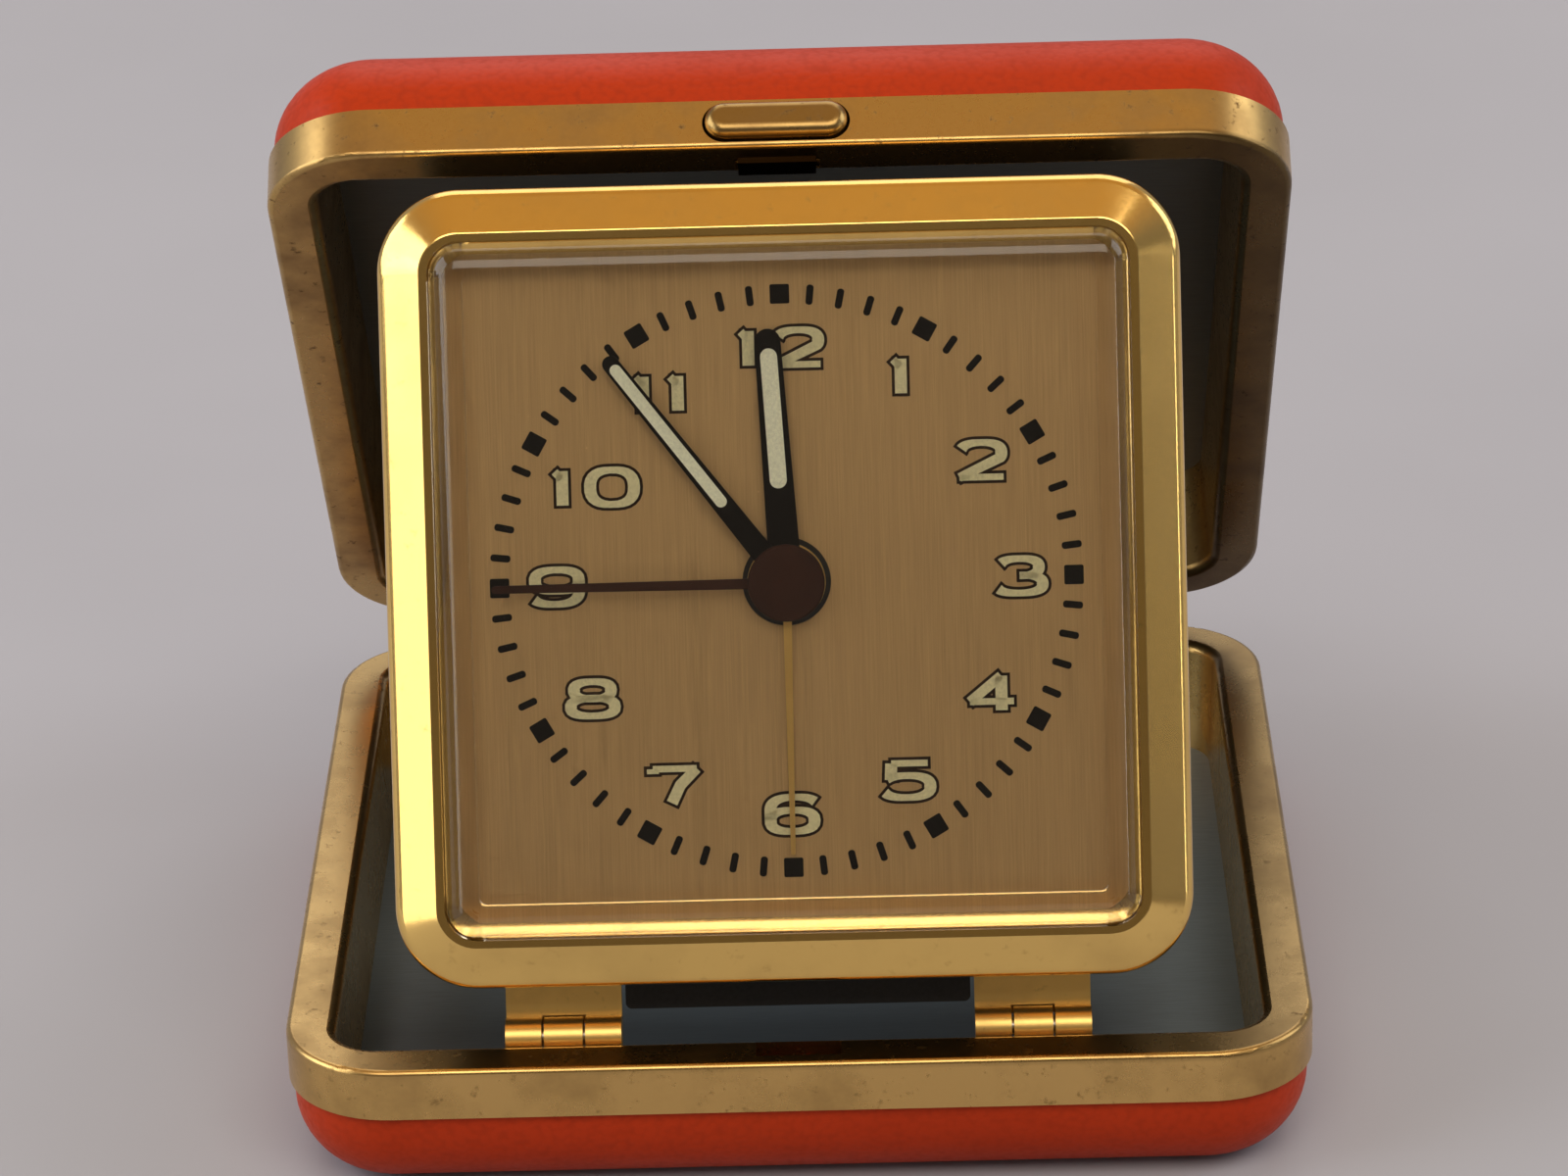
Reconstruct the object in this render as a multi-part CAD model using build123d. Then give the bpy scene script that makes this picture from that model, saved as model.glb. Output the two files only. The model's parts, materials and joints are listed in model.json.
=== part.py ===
from build123d import *
import math
import os

# Folding travel alarm clock, in millimetres: X to the right, Y to the rear, Z up
# The origin is the centre of the lower case's flat underside

# Case, both halves
case_side_room = 9.5
case_end_room = 16.0
shell_depth = 12.0
case_corner_radius = 8.5
cover_edge_share = 5 / 6
cover_inset = 0.4
cover_thickness = 1.0
band_height = 4.2
band_thickness = 1.2
band_edge_radius = 0.45
flange_width = 4.0
flange_thickness = 0.5
opening_corner_radius = 3.5
opening_edge_radius = 0.8
skirt_thickness = 0.5
skirt_draft = 0.4
lining_thickness = 0.3
lining_padding = 0.9
lining_tuck = 0.3

# Fits and cuts
running_gap = 0.05
seat_gap = 0.02
loose_gap = 0.3
overrun = 1.0

# Main hinge at the rear
lid_angle = 52.5
hinge_standoff = 2.6
hinge_knuckle_radius = 1.5
hinge_pin_radius = 0.7
hinge_length = 46.0
hinge_knuckle_count = 5
hinge_side_gap = 0.2
hinge_leaf_thickness = 0.8
hinge_leaf_margin = 0.4
hinge_web_thickness = 0.7

# Latch in the lid's front band
latch_width = 11.0
latch_height = 3.1
latch_rise = 2.2
latch_slot_gap = 0.2
latch_dome = 1.0
latch_travel = 0.7
latch_body_depth = 2.1
latch_flange_width = 14.0
latch_flange_height = 1.3
latch_flange_thickness = 0.5
hook_width = 6.0
hook_drop = 1.0
hook_barb_height = 0.5
hook_barb_reach = 1.3
keeper_side_gap = 0.3
keeper_wall = 0.6
spring_width = 8.0
spring_thickness = 0.15
spring_height = 6.8

# Clock unit: its own frame has X right, Y up the face and Z out of the face,
# with the centre on the plane of the bezel's outline
clock_angle = 68.2
clock_side_room = 8.25
bezel_corner_radius = 6.3
bezel_shoulder_radius = 1.1
bezel_crest_radius = 0.25
bezel_crest = 1.2
bezel_slope_width = 3.3
bezel_slope_drop = 1.6
bezel_skirt_depth = 5.2
bezel_skirt_thickness = 0.9
bezel_band_width = 3.9
bezel_ledge_width = 1.6
ledge_depth = 0.9
crystal_gap = 0.1
crystal_corner_radius = 2.4
crystal_stand = 1.0
crystal_thickness = 1.2
crystal_wall = 2.5
crystal_pocket_radius = 0.6
crystal_edge_radius = 2.1
dial_depth = 3.8
dial_thickness = 0.5
dial_hole_radius = 3.4
plate_thickness = 1.0
housing_inset = 1.5
housing_wall = 1.2
housing_depth = 15.8
housing_corner_radius = 5.0
housing_edge_radius = 1.6

# Clock hinge on the lower case's front
pivot_inset = 6.0
pivot_below_rim = 0.5
pivot_drop = 4.6
pivot_setback = 7.0
strap_inset = 12.3
strap_width = 9.0
strap_thickness = 0.8
strap_knuckle_radius = 1.5
strap_pin_radius = 0.7
strap_flange_length = 6.5
strap_rivet_radius = 0.9
strap_rivet_height = 0.5
middle_knuckle_width = 3.0
knuckle_side_gap = 0.2
leaf_thickness = 0.8
leaf_foot_length = 4.4
leaf_drop = 0.4

# Arbors and hands, listed from the innermost to the outermost
second_arbor_radius = 0.4
minute_pipe_wall = 0.5
hour_pipe_wall = 0.55
alarm_pipe_wall = 0.6
alarm_hand_lift = 0.35
hand_gap = 0.3
second_gap = 0.35
alarm_hand_thickness = 0.15
hour_hand_thickness = 0.2
minute_hand_thickness = 0.2
second_hand_thickness = 0.15
cap_radius = 2.95
cap_thickness = 0.35
lume_height = 0.1
hour_hand_length = 19.4
hour_hand_root = 2.5
hour_hand_tip = 2.0
hour_lume_width = 1.3
hour_lume_start = 7.2
hour_lume_end = 17.9
hour_hub_radius = 2.4
minute_hand_length = 22.0
minute_hand_root = 1.8
minute_hand_tip = 1.3
minute_lume_width = 0.9
minute_lume_start = 7.5
minute_lume_end = 21.2
minute_hub_radius = 2.0
second_hand_length = 22.5
second_hand_width = 0.6
alarm_hand_length = 21.0
alarm_hand_width = 0.35
alarm_hub_radius = 3.0
hour_angle = -3.1
minute_angle = -37.4
second_angle = -90.0
alarm_angle = 180.0

# Wheels: teeth, modules and levels behind the dial
cannon_teeth = 10
motion_teeth = 30
motion_module = 0.45
motion_pinion_teeth = 10
hour_teeth = 40
hour_module = 0.36
alarm_pinion_teeth = 10
alarm_teeth = 40
seconds_teeth = 48
idler_pinion_teeth = 8
idler_teeth = 40
rotor_pinion_teeth = 8
train_module = 0.2
tooth_tip_share = 0.85
tooth_root_share = 1.1
tooth_tip_angle_share = 0.12
tooth_root_angle_share = 0.27
wheel_thickness = 0.8
train_wheel_thickness = 0.6
wheel_gap = 0.3
setting_shaft_radius = 1.0
train_arbor_radius = 0.3
idler_direction = 90.0
rotor_direction = 60.0
magnet_radius = 1.6
magnet_thickness = 1.4
stator_hole_gap = 0.5
stator_thickness = 0.8
stator_arm_width = 2.5
stator_eye_wall = 1.0
stator_bar_height = 4.2
stator_reach = 22.5
stator_left = 10.5
stator_right = 12.0
coil_radius = 2.4
coil_side_gap = 0.3
core_height = 2.2
bridge_width = 34.0
bridge_height = 24.0
bridge_thickness = 0.8
bridge_corner_radius = 2.0
pillar_radius = 1.2
pillar_inset = 2.0

# Rear of the housing
knob_radius = 5.5
knob_thickness = 2.0
knob_flutes = 18
knob_flute_radius = 0.45
well_gap = 0.6
well_depth = 2.5
well_wall = 0.9
battery_radius = 5.25
battery_length = 43.3
battery_nub_radius = 1.9
battery_nub_length = 1.2
battery_drop = 19.5
battery_gap = 0.2
contact_thickness = 0.4
contact_width = 7.0
contact_height = 8.0
contact_bow = 1.2
bay_wall = 0.8
door_thickness = 0.7
door_gap = 0.15
door_travel = 3.0
door_lip = 0.8
door_grip_count = 5
door_grip_width = 0.6
door_grip_spacing = 1.4
door_grip_depth = 0.25
door_grip_length = 5.0
switch_inset = 7.5
switch_y = 3.0
switch_width = 4.0
switch_length = 5.0
switch_travel = 3.0
switch_gap = 0.2
switch_flange = 1.0
switch_flange_thickness = 0.7
switch_grip_count = 3
switch_grip_spacing = 1.2
switch_grip_width = 0.5
switch_grip_height = 0.4
buzzer_side_gap = 0.7
buzzer_y = 3.0
buzzer_radius = 4.8
buzzer_height = 4.0
sound_hole_radius = 0.6
sound_ring_radius = 2.4
sound_hole_count = 6
screw_inset = 4.0
screw_low = -8.5
screw_head_radius = 1.5
screw_head_height = 0.8
screw_radius = 0.8
screw_slot_width = 0.35
screw_slot_depth = 0.3
boss_radius = 2.1
board_width = 40.0
board_height = 12.0
board_thickness = 0.8
board_lift = 1.2
can_radius = 1.0
can_length = 6.0
part_inset = 2.6
chip_size = 4.0
chip_height = 1.0

# Places worked out from the sizes, with the battery setting the size of the clock and its case
clock_size = battery_length + battery_nub_length + clock_side_room * 2
case_width = clock_size + case_side_room * 2
case_length = clock_size + case_end_room
front_y = -case_length / 2
rear_y = case_length / 2
parting_z = shell_depth
cover_edge_radius = (shell_depth - band_height) * cover_edge_share
lining_depth = shell_depth - cover_thickness - lining_padding - lining_thickness
hinge_y = rear_y + hinge_standoff
pivot_y = front_y + pivot_inset
pivot_z = parting_z - pivot_below_rim
clock_half = clock_size / 2
pivot_local_y = -clock_half - pivot_drop
housing_half = clock_half - housing_inset
strap_spacing = clock_size - strap_inset * 2
switch_x = housing_half - switch_inset
buzzer_x = buzzer_side_gap + buzzer_radius + housing_wall - housing_half
screw_x = housing_half - screw_inset
screw_top = screw_x
latch_plate_back = front_y + latch_body_depth + latch_flange_thickness
latch_slot_back = latch_plate_back + latch_travel + latch_slot_gap
plate_front = -dial_depth - dial_thickness
plate_back = plate_front - plate_thickness
housing_back = -housing_depth
housing_inner_back = housing_back + housing_wall
plate_half = housing_half - housing_wall - running_gap
plate_corner_radius = housing_corner_radius - housing_wall - running_gap
ledge_half = clock_half - bezel_band_width - bezel_ledge_width
crystal_half = clock_half - bezel_band_width - crystal_gap
setting_distance = (cannon_teeth + motion_teeth) * motion_module / 2
idler_distance = (seconds_teeth + idler_pinion_teeth) * train_module / 2
rotor_distance = (idler_teeth + rotor_pinion_teeth) * train_module / 2
alarm_module = 2 * setting_distance / (alarm_teeth + alarm_pinion_teeth)
alarm_level = plate_back - wheel_gap
hour_level = alarm_level - wheel_thickness - wheel_gap
cannon_level = hour_level - wheel_thickness - wheel_gap
seconds_level = cannon_level - wheel_thickness - wheel_gap * 2
idler_level = seconds_level - train_wheel_thickness - wheel_gap
bridge_level = idler_level - train_wheel_thickness - wheel_gap
bridge_back = bridge_level - bridge_thickness
idler_x = idler_distance * math.cos(math.radians(idler_direction))
idler_y = idler_distance * math.sin(math.radians(idler_direction))
rotor_x = idler_x + rotor_distance * math.cos(math.radians(rotor_direction))
rotor_y = idler_y + rotor_distance * math.sin(math.radians(rotor_direction))
minute_pipe_bore = second_arbor_radius + running_gap
minute_pipe_radius = minute_pipe_bore + minute_pipe_wall
hour_pipe_bore = minute_pipe_radius + running_gap
hour_pipe_radius = hour_pipe_bore + hour_pipe_wall
alarm_pipe_bore = hour_pipe_radius + running_gap
alarm_pipe_radius = alarm_pipe_bore + alarm_pipe_wall
alarm_hand_low = -dial_depth + alarm_hand_lift
hour_hand_low = alarm_hand_low + alarm_hand_thickness + hand_gap
minute_hand_low = hour_hand_low + hour_hand_thickness + lume_height + hand_gap
second_hand_low = minute_hand_low + minute_hand_thickness + lume_height + second_gap
cap_low = second_hand_low + second_hand_thickness
stator_level = cannon_level
core_level = stator_level - stator_thickness
coil_y = stator_reach - core_height / 2
knob_face = housing_back + seat_gap * 10
well_floor = housing_back + well_depth
door_half_height = battery_radius + battery_gap + bay_wall
door_left = -battery_length / 2 - contact_bow - contact_thickness * 2
door_right = battery_length / 2 + battery_nub_length + contact_thickness * 2
battery_z = plate_front - battery_radius - battery_gap

base_place = Pos(0, 0, parting_z)
lid_place = (
    Pos(0, hinge_y, parting_z) * Rot(-lid_angle, 0, 0) * Pos(0, -hinge_y, 0) * Rot(0, 180, 0)
)
clock_place = (
    Pos(0, pivot_y, pivot_z) * Rot(clock_angle, 0, 0) * Pos(0, -pivot_local_y, pivot_setback)
)


def write(name, shape, place):
    """Put a piece in its place and write it under its name."""
    export_step(place * shape, os.path.join("parts", name + ".step"))


def square_ring_plan(half_x, half_y, radius, z):
    """A rounded rectangle at a height, given by its half sizes."""
    return Plane.XY.offset(z) * RectangleRounded(2 * half_x, 2 * half_y, radius)


def rounded_slab(half_x, half_y, radius, z_low, z_high):
    """A rounded rectangle raised between two heights."""
    return extrude(square_ring_plan(half_x, half_y, radius, z_low), amount=z_high - z_low)


def block(x_low, x_high, y_low, y_high, z_low, z_high):
    """A plain block between two corners."""
    size = Box(x_high - x_low, y_high - y_low, z_high - z_low)
    return Pos((x_low + x_high) / 2, (y_low + y_high) / 2, (z_low + z_high) / 2) * size


def disc(x, y, radius, z_low, z_high):
    """A round bar along Z between two heights."""
    return Pos(x, y, (z_low + z_high) / 2) * Cylinder(radius, z_high - z_low)


def cross_bar(x_low, x_high, y, z, radius):
    """A round bar along X between two places."""
    bar = Rot(0, 90, 0) * Cylinder(radius, x_high - x_low)
    return Pos((x_low + x_high) / 2, y, z) * bar


def edges_at(shape, z):
    """The edges of a shape that lie at one height."""
    return [e for e in shape.edges() if abs(e.center().Z - z) < seat_gap / 10
            and e.bounding_box().size.Z < seat_gap / 10]


# Case halves, in a frame with the parting plane at Z 0 and the inside below it


def case_slab(inset, z_low, z_high):
    """The case's plan, drawn in by an inset, between two heights."""
    return rounded_slab(case_width / 2 - inset, case_length / 2 - inset,
                        case_corner_radius - inset, z_low, z_high)


def opening_well(grow, z_high, z_low):
    """The case's opening, grown on all sides, narrowing down to the lining."""
    plans = [
        square_ring_plan(case_width / 2 - flange_width - draft + grow,
                         case_length / 2 - flange_width - draft + grow,
                         opening_corner_radius + grow, z)
        for draft, z in ((0, z_high), (skirt_draft, z_low))
    ]
    return loft(plans, ruled=True)


def is_inside_flange(edge):
    """True for an edge that lies round the opening and not round the outside."""
    middle = edge.center()
    return (abs(middle.X) < case_width / 2 - flange_width + seat_gap
            and abs(middle.Y) < case_length / 2 - flange_width + seat_gap)


def case_rim():
    """The brass frame: an outer band, a flat flange and a skirt down to the lining."""
    band = case_slab(0, -band_height, 0)
    band -= case_slab(band_thickness, -band_height - overrun, -flange_thickness)
    rim = band + opening_well(skirt_thickness, 0, -lining_depth)
    rim -= opening_well(0, 0, -lining_depth)
    rim = fillet([e for e in edges_at(rim, 0) if is_inside_flange(e)], opening_edge_radius)
    return fillet([e for e in edges_at(rim, 0) if not is_inside_flange(e)
                   and abs(e.center().Y) + abs(e.center().X) > case_length / 2 - band_thickness],
                  band_edge_radius)


def case_cover():
    """The covered pan outside: flat back, rounded edge, butting against the band."""
    outer = case_slab(cover_inset, -shell_depth, -band_height)
    outer = fillet(edges_at(outer, -shell_depth), cover_edge_radius)
    floor_z = -shell_depth + cover_thickness
    inner = case_slab(cover_inset + cover_thickness, floor_z, -band_height + overrun)
    inner = fillet(edges_at(inner, floor_z), cover_edge_radius - cover_thickness)
    return outer - inner


def case_lining():
    """The lining panel, tucked under the foot of the skirt."""
    inset = flange_width + skirt_draft - lining_tuck
    return case_slab(inset, -lining_depth - lining_thickness, -lining_depth)


def knuckle_spans(own):
    """The spans along X of the knuckles that belong to one leaf."""
    pitch = hinge_length / hinge_knuckle_count
    spans = []
    for index in range(hinge_knuckle_count):
        if (index % 2 == 0) == own:
            start = -hinge_length / 2 + index * pitch
            spans.append((start + hinge_side_gap / 2, start + pitch - hinge_side_gap / 2))
    return spans


def hinge_leaf(own, bore_radius):
    """A leaf on the rear band with its knuckles rolled round the pin."""
    leaf = block(-hinge_length / 2, hinge_length / 2, rear_y, rear_y + hinge_leaf_thickness,
                 -band_height + hinge_leaf_margin, -hinge_leaf_margin)
    for low, high in knuckle_spans(own):
        web_low = -hinge_knuckle_radius
        leaf += block(low, high, rear_y + hinge_leaf_thickness / 2, hinge_y,
                      web_low, web_low + hinge_web_thickness)
        leaf += cross_bar(low, high, hinge_y, 0, hinge_knuckle_radius)
    leaf -= cross_bar(-hinge_length, hinge_length, hinge_y, 0, bore_radius)
    return leaf


def pill(width, height, y_low, y_high, z):
    """A pill-shaped bar along Y."""
    plane = Plane(origin=(0, y_high, z), x_dir=(1, 0, 0), z_dir=(0, -1, 0))
    return extrude(plane * SlotOverall(width, height), amount=y_high - y_low)


def hook_slot(y_front):
    """The slot through a flange that the hook passes, from its front to behind its travel."""
    half = hook_width / 2 + keeper_side_gap
    return block(-half, half, y_front, latch_slot_back, -flange_thickness - seat_gap, overrun)


def lid_rim():
    """The lid's frame with the slots for the latch button and its hook."""
    slot = pill(latch_width + 2 * latch_slot_gap, latch_height + 2 * latch_slot_gap,
                front_y - overrun, front_y + latch_body_depth, -latch_rise)
    neck_front = latch_plate_back - latch_flange_thickness - latch_slot_gap
    return case_rim() - slot - hook_slot(neck_front)


def base_rim():
    """The lower frame with the slot that the hook enters and the window that it catches in."""
    half = hook_width / 2 + keeper_side_gap
    barb_front = latch_plate_back - latch_flange_thickness - hook_barb_reach
    top = -hook_drop + hook_barb_height + keeper_side_gap / 3
    window = block(-half, half, front_y + keeper_wall, latch_slot_back,
                   -hook_drop - keeper_side_gap / 2, top)
    return case_rim() - window - hook_slot(barb_front + latch_travel - latch_slot_gap)


def latch_button():
    """The domed push button with its plate and the hook behind the band."""
    body = pill(latch_width, latch_height, front_y - latch_dome, front_y + latch_body_depth,
                -latch_rise)
    face = [e for e in body.edges() if abs(e.center().Y - (front_y - latch_dome)) < seat_gap
            and e.bounding_box().size.Y < seat_gap]
    body = fillet(face, latch_dome * 0.9)
    y_low = front_y + latch_body_depth
    plate_top = -flange_thickness - running_gap * 2
    half = latch_flange_width / 2
    body += block(-half, half, y_low, latch_plate_back, plate_top - latch_flange_height, plate_top)
    half = hook_width / 2
    body += block(-half, half, y_low, latch_plate_back, plate_top - latch_flange_height, hook_drop)
    body += block(-half, half, y_low - hook_barb_reach, latch_plate_back,
                  hook_drop - hook_barb_height, hook_drop)
    return body


def latch_spring():
    """A leaf that leans from the skirt's outer side to behind the pressed latch plate."""
    top = -flange_thickness - loose_gap
    root = top - spring_height
    skirt_front = front_y + flange_width - skirt_thickness
    root_back = skirt_front - root / lining_depth * skirt_draft - seat_gap
    reach = latch_plate_back + latch_travel + running_gap
    outline = Polyline((root_back, root), (root_back - spring_thickness, root), (reach, top),
                       (reach + spring_thickness, top), close=True)
    plane = Plane(origin=(-spring_width / 2, 0, 0), x_dir=(0, 1, 0), z_dir=(1, 0, 0))
    return extrude(plane * make_face(outline), amount=spring_width)


# Clock hinge: leaves against the front skirt and straps under the clock


def hinge_bracket():
    """A leaf with a foot on the lining and one middle knuckle, in the lower case's frame."""
    y = front_y + pivot_inset
    z = -pivot_below_rim
    front = y - strap_knuckle_radius
    half = strap_width / 2
    shoulder = z - strap_knuckle_radius - leaf_drop
    middle = middle_knuckle_width / 2
    leaf = block(-half, half, front, front + leaf_thickness, -lining_depth, shoulder)
    leaf += block(-half, half, front, front + leaf_foot_length, -lining_depth,
                  -lining_depth + leaf_thickness)
    leaf += block(-middle, middle, front, front + leaf_thickness, shoulder, z)
    leaf += cross_bar(-middle, middle, y, z, strap_knuckle_radius)
    return leaf - cross_bar(-half - overrun, half + overrun, y, z, strap_pin_radius + seat_gap)


def clock_hinge_pins():
    """One short pin in each bracket."""
    half = strap_width / 2
    pins = [cross_bar(x - half, x + half, front_y + pivot_inset, -pivot_below_rim, strap_pin_radius)
            for x in (-strap_spacing / 2, strap_spacing / 2)]
    return Compound(pins)


def hinge_strap():
    """A strap in the clock's frame: two knuckles, a plate behind them and a flange."""
    half = strap_width / 2
    back = -pivot_setback - strap_knuckle_radius
    top = -housing_half
    middle = middle_knuckle_width / 2 + knuckle_side_gap
    strap = cross_bar(-half, half, pivot_local_y, -pivot_setback, strap_knuckle_radius)
    strap += block(-half, half, pivot_local_y, top, back, back + strap_thickness)
    strap += block(-half, half, top - strap_thickness, top, back - strap_flange_length,
                   back + strap_thickness)
    for side in (-1, 1):
        rivet = Rot(90, 0, 0) * Cylinder(strap_rivet_radius, strap_rivet_height * 2)
        strap += Pos(side * half / 2, top - strap_thickness,
                     back - strap_flange_length / 2) * rivet
    strap -= cross_bar(-middle, middle, pivot_local_y, -pivot_setback,
                       strap_knuckle_radius + knuckle_side_gap)
    strap -= cross_bar(-half - overrun, half + overrun, pivot_local_y, -pivot_setback,
                       strap_pin_radius + running_gap)
    return strap


# Clock unit, front


def clock_bezel():
    """The bezel: side skirt, rounded shoulder, sloping band and the crystal's ledge."""
    inner = clock_half - bezel_band_width
    shoulder = bezel_crest - bezel_slope_drop
    slope = [square_ring_plan(clock_half - inset, clock_half - inset, bezel_corner_radius - inset, z)
             for inset, z in ((0, shoulder), (bezel_slope_width, bezel_crest))]
    bezel = rounded_slab(clock_half, clock_half, bezel_corner_radius, -bezel_skirt_depth, shoulder)
    bezel += loft(slope, ruled=True)
    bezel = fillet(edges_at(bezel, shoulder), bezel_shoulder_radius)
    bezel = fillet(edges_at(bezel, bezel_crest), bezel_crest_radius)
    bezel -= rounded_slab(inner, inner, crystal_corner_radius + crystal_gap, -ledge_depth,
                          bezel_crest + overrun)
    bezel -= rounded_slab(ledge_half, ledge_half, crystal_corner_radius / 2,
                          -bezel_skirt_depth - overrun, bezel_crest)
    skirt_half = clock_half - bezel_skirt_thickness
    bezel -= rounded_slab(skirt_half, skirt_half, bezel_corner_radius - bezel_skirt_thickness,
                          -bezel_skirt_depth - overrun, -dial_depth)
    return bezel


def crystal():
    """The moulded crystal: a flat window with broad rounded edges and a thick wall."""
    top = bezel_crest + crystal_stand
    outer = rounded_slab(crystal_half, crystal_half, crystal_corner_radius, -ledge_depth, top)
    outer = fillet(edges_at(outer, top), crystal_edge_radius)
    half = crystal_half - crystal_wall
    return outer - rounded_slab(half, half, crystal_pocket_radius, -ledge_depth - overrun,
                                top - crystal_thickness)


def dial():
    """The square dial plate with its centre hole."""
    half = plate_half
    plate = rounded_slab(half, half, plate_corner_radius, plate_front, -dial_depth)
    return plate - disc(0, 0, dial_hole_radius, plate_front - overrun, 0)


def tapered_hand(length, root, tip, hub_radius, z_low, thickness, bore):
    """A flat hand that points up the face, with a round tip and a hub."""
    outline = Polyline((-root / 2, 0), (-tip / 2, length - tip / 2),
                       (tip / 2, length - tip / 2), (root / 2, 0), close=True)
    blade = extrude(Plane.XY.offset(z_low) * make_face(outline), amount=thickness)
    blade += disc(0, length - tip / 2, tip / 2, z_low, z_low + thickness)
    blade += disc(0, 0, hub_radius, z_low, z_low + thickness)
    if bore:
        blade -= disc(0, 0, bore, z_low - overrun, z_low + overrun)
    return blade


def lume_strip(width, start, end, z_low):
    """The raised strip of luminous paint on a hand."""
    plane = Plane.XY.offset(z_low)
    strip = plane * Pos(0, (start + end) / 2) * SlotOverall(end - start, width, rotation=90)
    return extrude(strip, amount=lume_height)


def turned(shape, angle):
    """A piece turned clockwise about the dial's centre."""
    return Rot(0, 0, -angle) * shape


def alarm_hand():
    return turned(tapered_hand(alarm_hand_length, alarm_hand_width * 2, alarm_hand_width,
                               alarm_hub_radius, alarm_hand_low, alarm_hand_thickness,
                               alarm_pipe_radius + seat_gap), alarm_angle)


def hour_hand():
    return turned(tapered_hand(hour_hand_length, hour_hand_root, hour_hand_tip, hour_hub_radius,
                               hour_hand_low, hour_hand_thickness,
                               hour_pipe_radius + seat_gap), hour_angle)


def minute_hand():
    return turned(tapered_hand(minute_hand_length, minute_hand_root, minute_hand_tip,
                               minute_hub_radius, minute_hand_low, minute_hand_thickness,
                               minute_pipe_radius + seat_gap), minute_angle)


def second_hand():
    return turned(tapered_hand(second_hand_length, second_hand_width * 1.4, second_hand_width,
                               minute_hub_radius, second_hand_low, second_hand_thickness,
                               second_arbor_radius + seat_gap), second_angle)


def centre_cap():
    """The round cap over the hands, a shallow dome."""
    cap = disc(0, 0, cap_radius, cap_low, cap_low + cap_thickness)
    return fillet(edges_at(cap, cap_low + cap_thickness), cap_thickness * 0.6)


# Movement


def tooth_outline(teeth, module, phase):
    """A closed outline of straight-flanked teeth, one of them centred on the phase angle."""
    pitch_radius = teeth * module / 2
    tip = pitch_radius + tooth_tip_share * module
    root = pitch_radius - tooth_root_share * module
    pitch = 360 / teeth
    points = []
    for index in range(teeth):
        centre = phase + index * pitch
        for share, radius in ((-tooth_root_angle_share, root), (-tooth_tip_angle_share, tip),
                              (tooth_tip_angle_share, tip), (tooth_root_angle_share, root)):
            angle = math.radians(centre + share * pitch)
            points.append((radius * math.cos(angle), radius * math.sin(angle)))
    return make_face(Polyline(points, close=True))


def wheel(teeth, module, phase, z_high, thickness):
    """A toothed wheel whose front face is at one height."""
    plane = Plane.XY.offset(z_high - thickness)
    return extrude(plane * tooth_outline(teeth, module, phase), amount=thickness)


def half_pitch(teeth):
    """Half the angle between two teeth."""
    return 180 / teeth


def second_arbor():
    """The seconds wheel on its long thin arbor."""
    arbor = disc(0, 0, second_arbor_radius, bridge_back, cap_low)
    return arbor + wheel(seconds_teeth, train_module, idler_direction, seconds_level,
                         train_wheel_thickness)


def minute_pipe():
    """The cannon pinion and its pipe."""
    pipe = disc(0, 0, minute_pipe_radius, cannon_level - wheel_thickness,
                minute_hand_low + minute_hand_thickness)
    pipe += wheel(cannon_teeth, motion_module, 0, cannon_level, wheel_thickness)
    return pipe - disc(0, 0, minute_pipe_bore, bridge_back, 0)


def hour_wheel():
    """The hour wheel and its pipe."""
    pipe = disc(0, 0, hour_pipe_radius, hour_level - wheel_thickness,
                hour_hand_low + hour_hand_thickness)
    pipe += wheel(hour_teeth, hour_module, 0, hour_level, wheel_thickness)
    return pipe - disc(0, 0, hour_pipe_bore, bridge_back, 0)


def alarm_wheel():
    """The alarm wheel and its pipe."""
    pipe = disc(0, 0, alarm_pipe_radius, alarm_level - wheel_thickness,
                alarm_hand_low + alarm_hand_thickness)
    pipe += wheel(alarm_teeth, alarm_module, 180, alarm_level, wheel_thickness)
    return pipe - disc(0, 0, alarm_pipe_bore, bridge_back, 0)


def time_arbor():
    """The motion wheel and pinion on the setting shaft."""
    shaft = disc(0, 0, setting_shaft_radius, knob_face + knob_thickness / 2, plate_back)
    shaft += wheel(motion_teeth, motion_module, 180 + half_pitch(motion_teeth), cannon_level,
                   wheel_thickness)
    shaft += wheel(motion_pinion_teeth, hour_module, 180 + half_pitch(motion_pinion_teeth),
                   hour_level, wheel_thickness)
    return Pos(setting_distance, 0, 0) * shaft


def alarm_arbor():
    """The alarm pinion on the alarm setting shaft."""
    shaft = disc(0, 0, setting_shaft_radius, knob_face + knob_thickness / 2, plate_back)
    shaft += wheel(alarm_pinion_teeth, alarm_module, half_pitch(alarm_pinion_teeth), alarm_level,
                   wheel_thickness)
    return Pos(-setting_distance, 0, 0) * shaft


def setting_knob(x):
    """A fluted knob in its well, with a blind bore for the shaft."""
    knob = disc(0, 0, knob_radius, knob_face, knob_face + knob_thickness)
    for index in range(knob_flutes):
        knob -= Rot(0, 0, index * 360 / knob_flutes) * disc(
            knob_radius, 0, knob_flute_radius, knob_face - overrun,
            knob_face + knob_thickness + overrun)
    knob -= disc(0, 0, setting_shaft_radius + seat_gap, knob_face + knob_thickness / 2,
                 knob_face + knob_thickness + overrun)
    return Pos(x, 0, 0) * knob


def idler():
    """The intermediate wheel and pinion between rotor and seconds wheel."""
    arbor = disc(0, 0, train_arbor_radius, bridge_back, seconds_level + wheel_gap / 2)
    arbor += wheel(idler_pinion_teeth, train_module,
                   idler_direction + 180 + half_pitch(idler_pinion_teeth), seconds_level,
                   train_wheel_thickness)
    arbor += wheel(idler_teeth, train_module, rotor_direction, idler_level, train_wheel_thickness)
    return Pos(idler_x, idler_y, 0) * arbor


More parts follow.
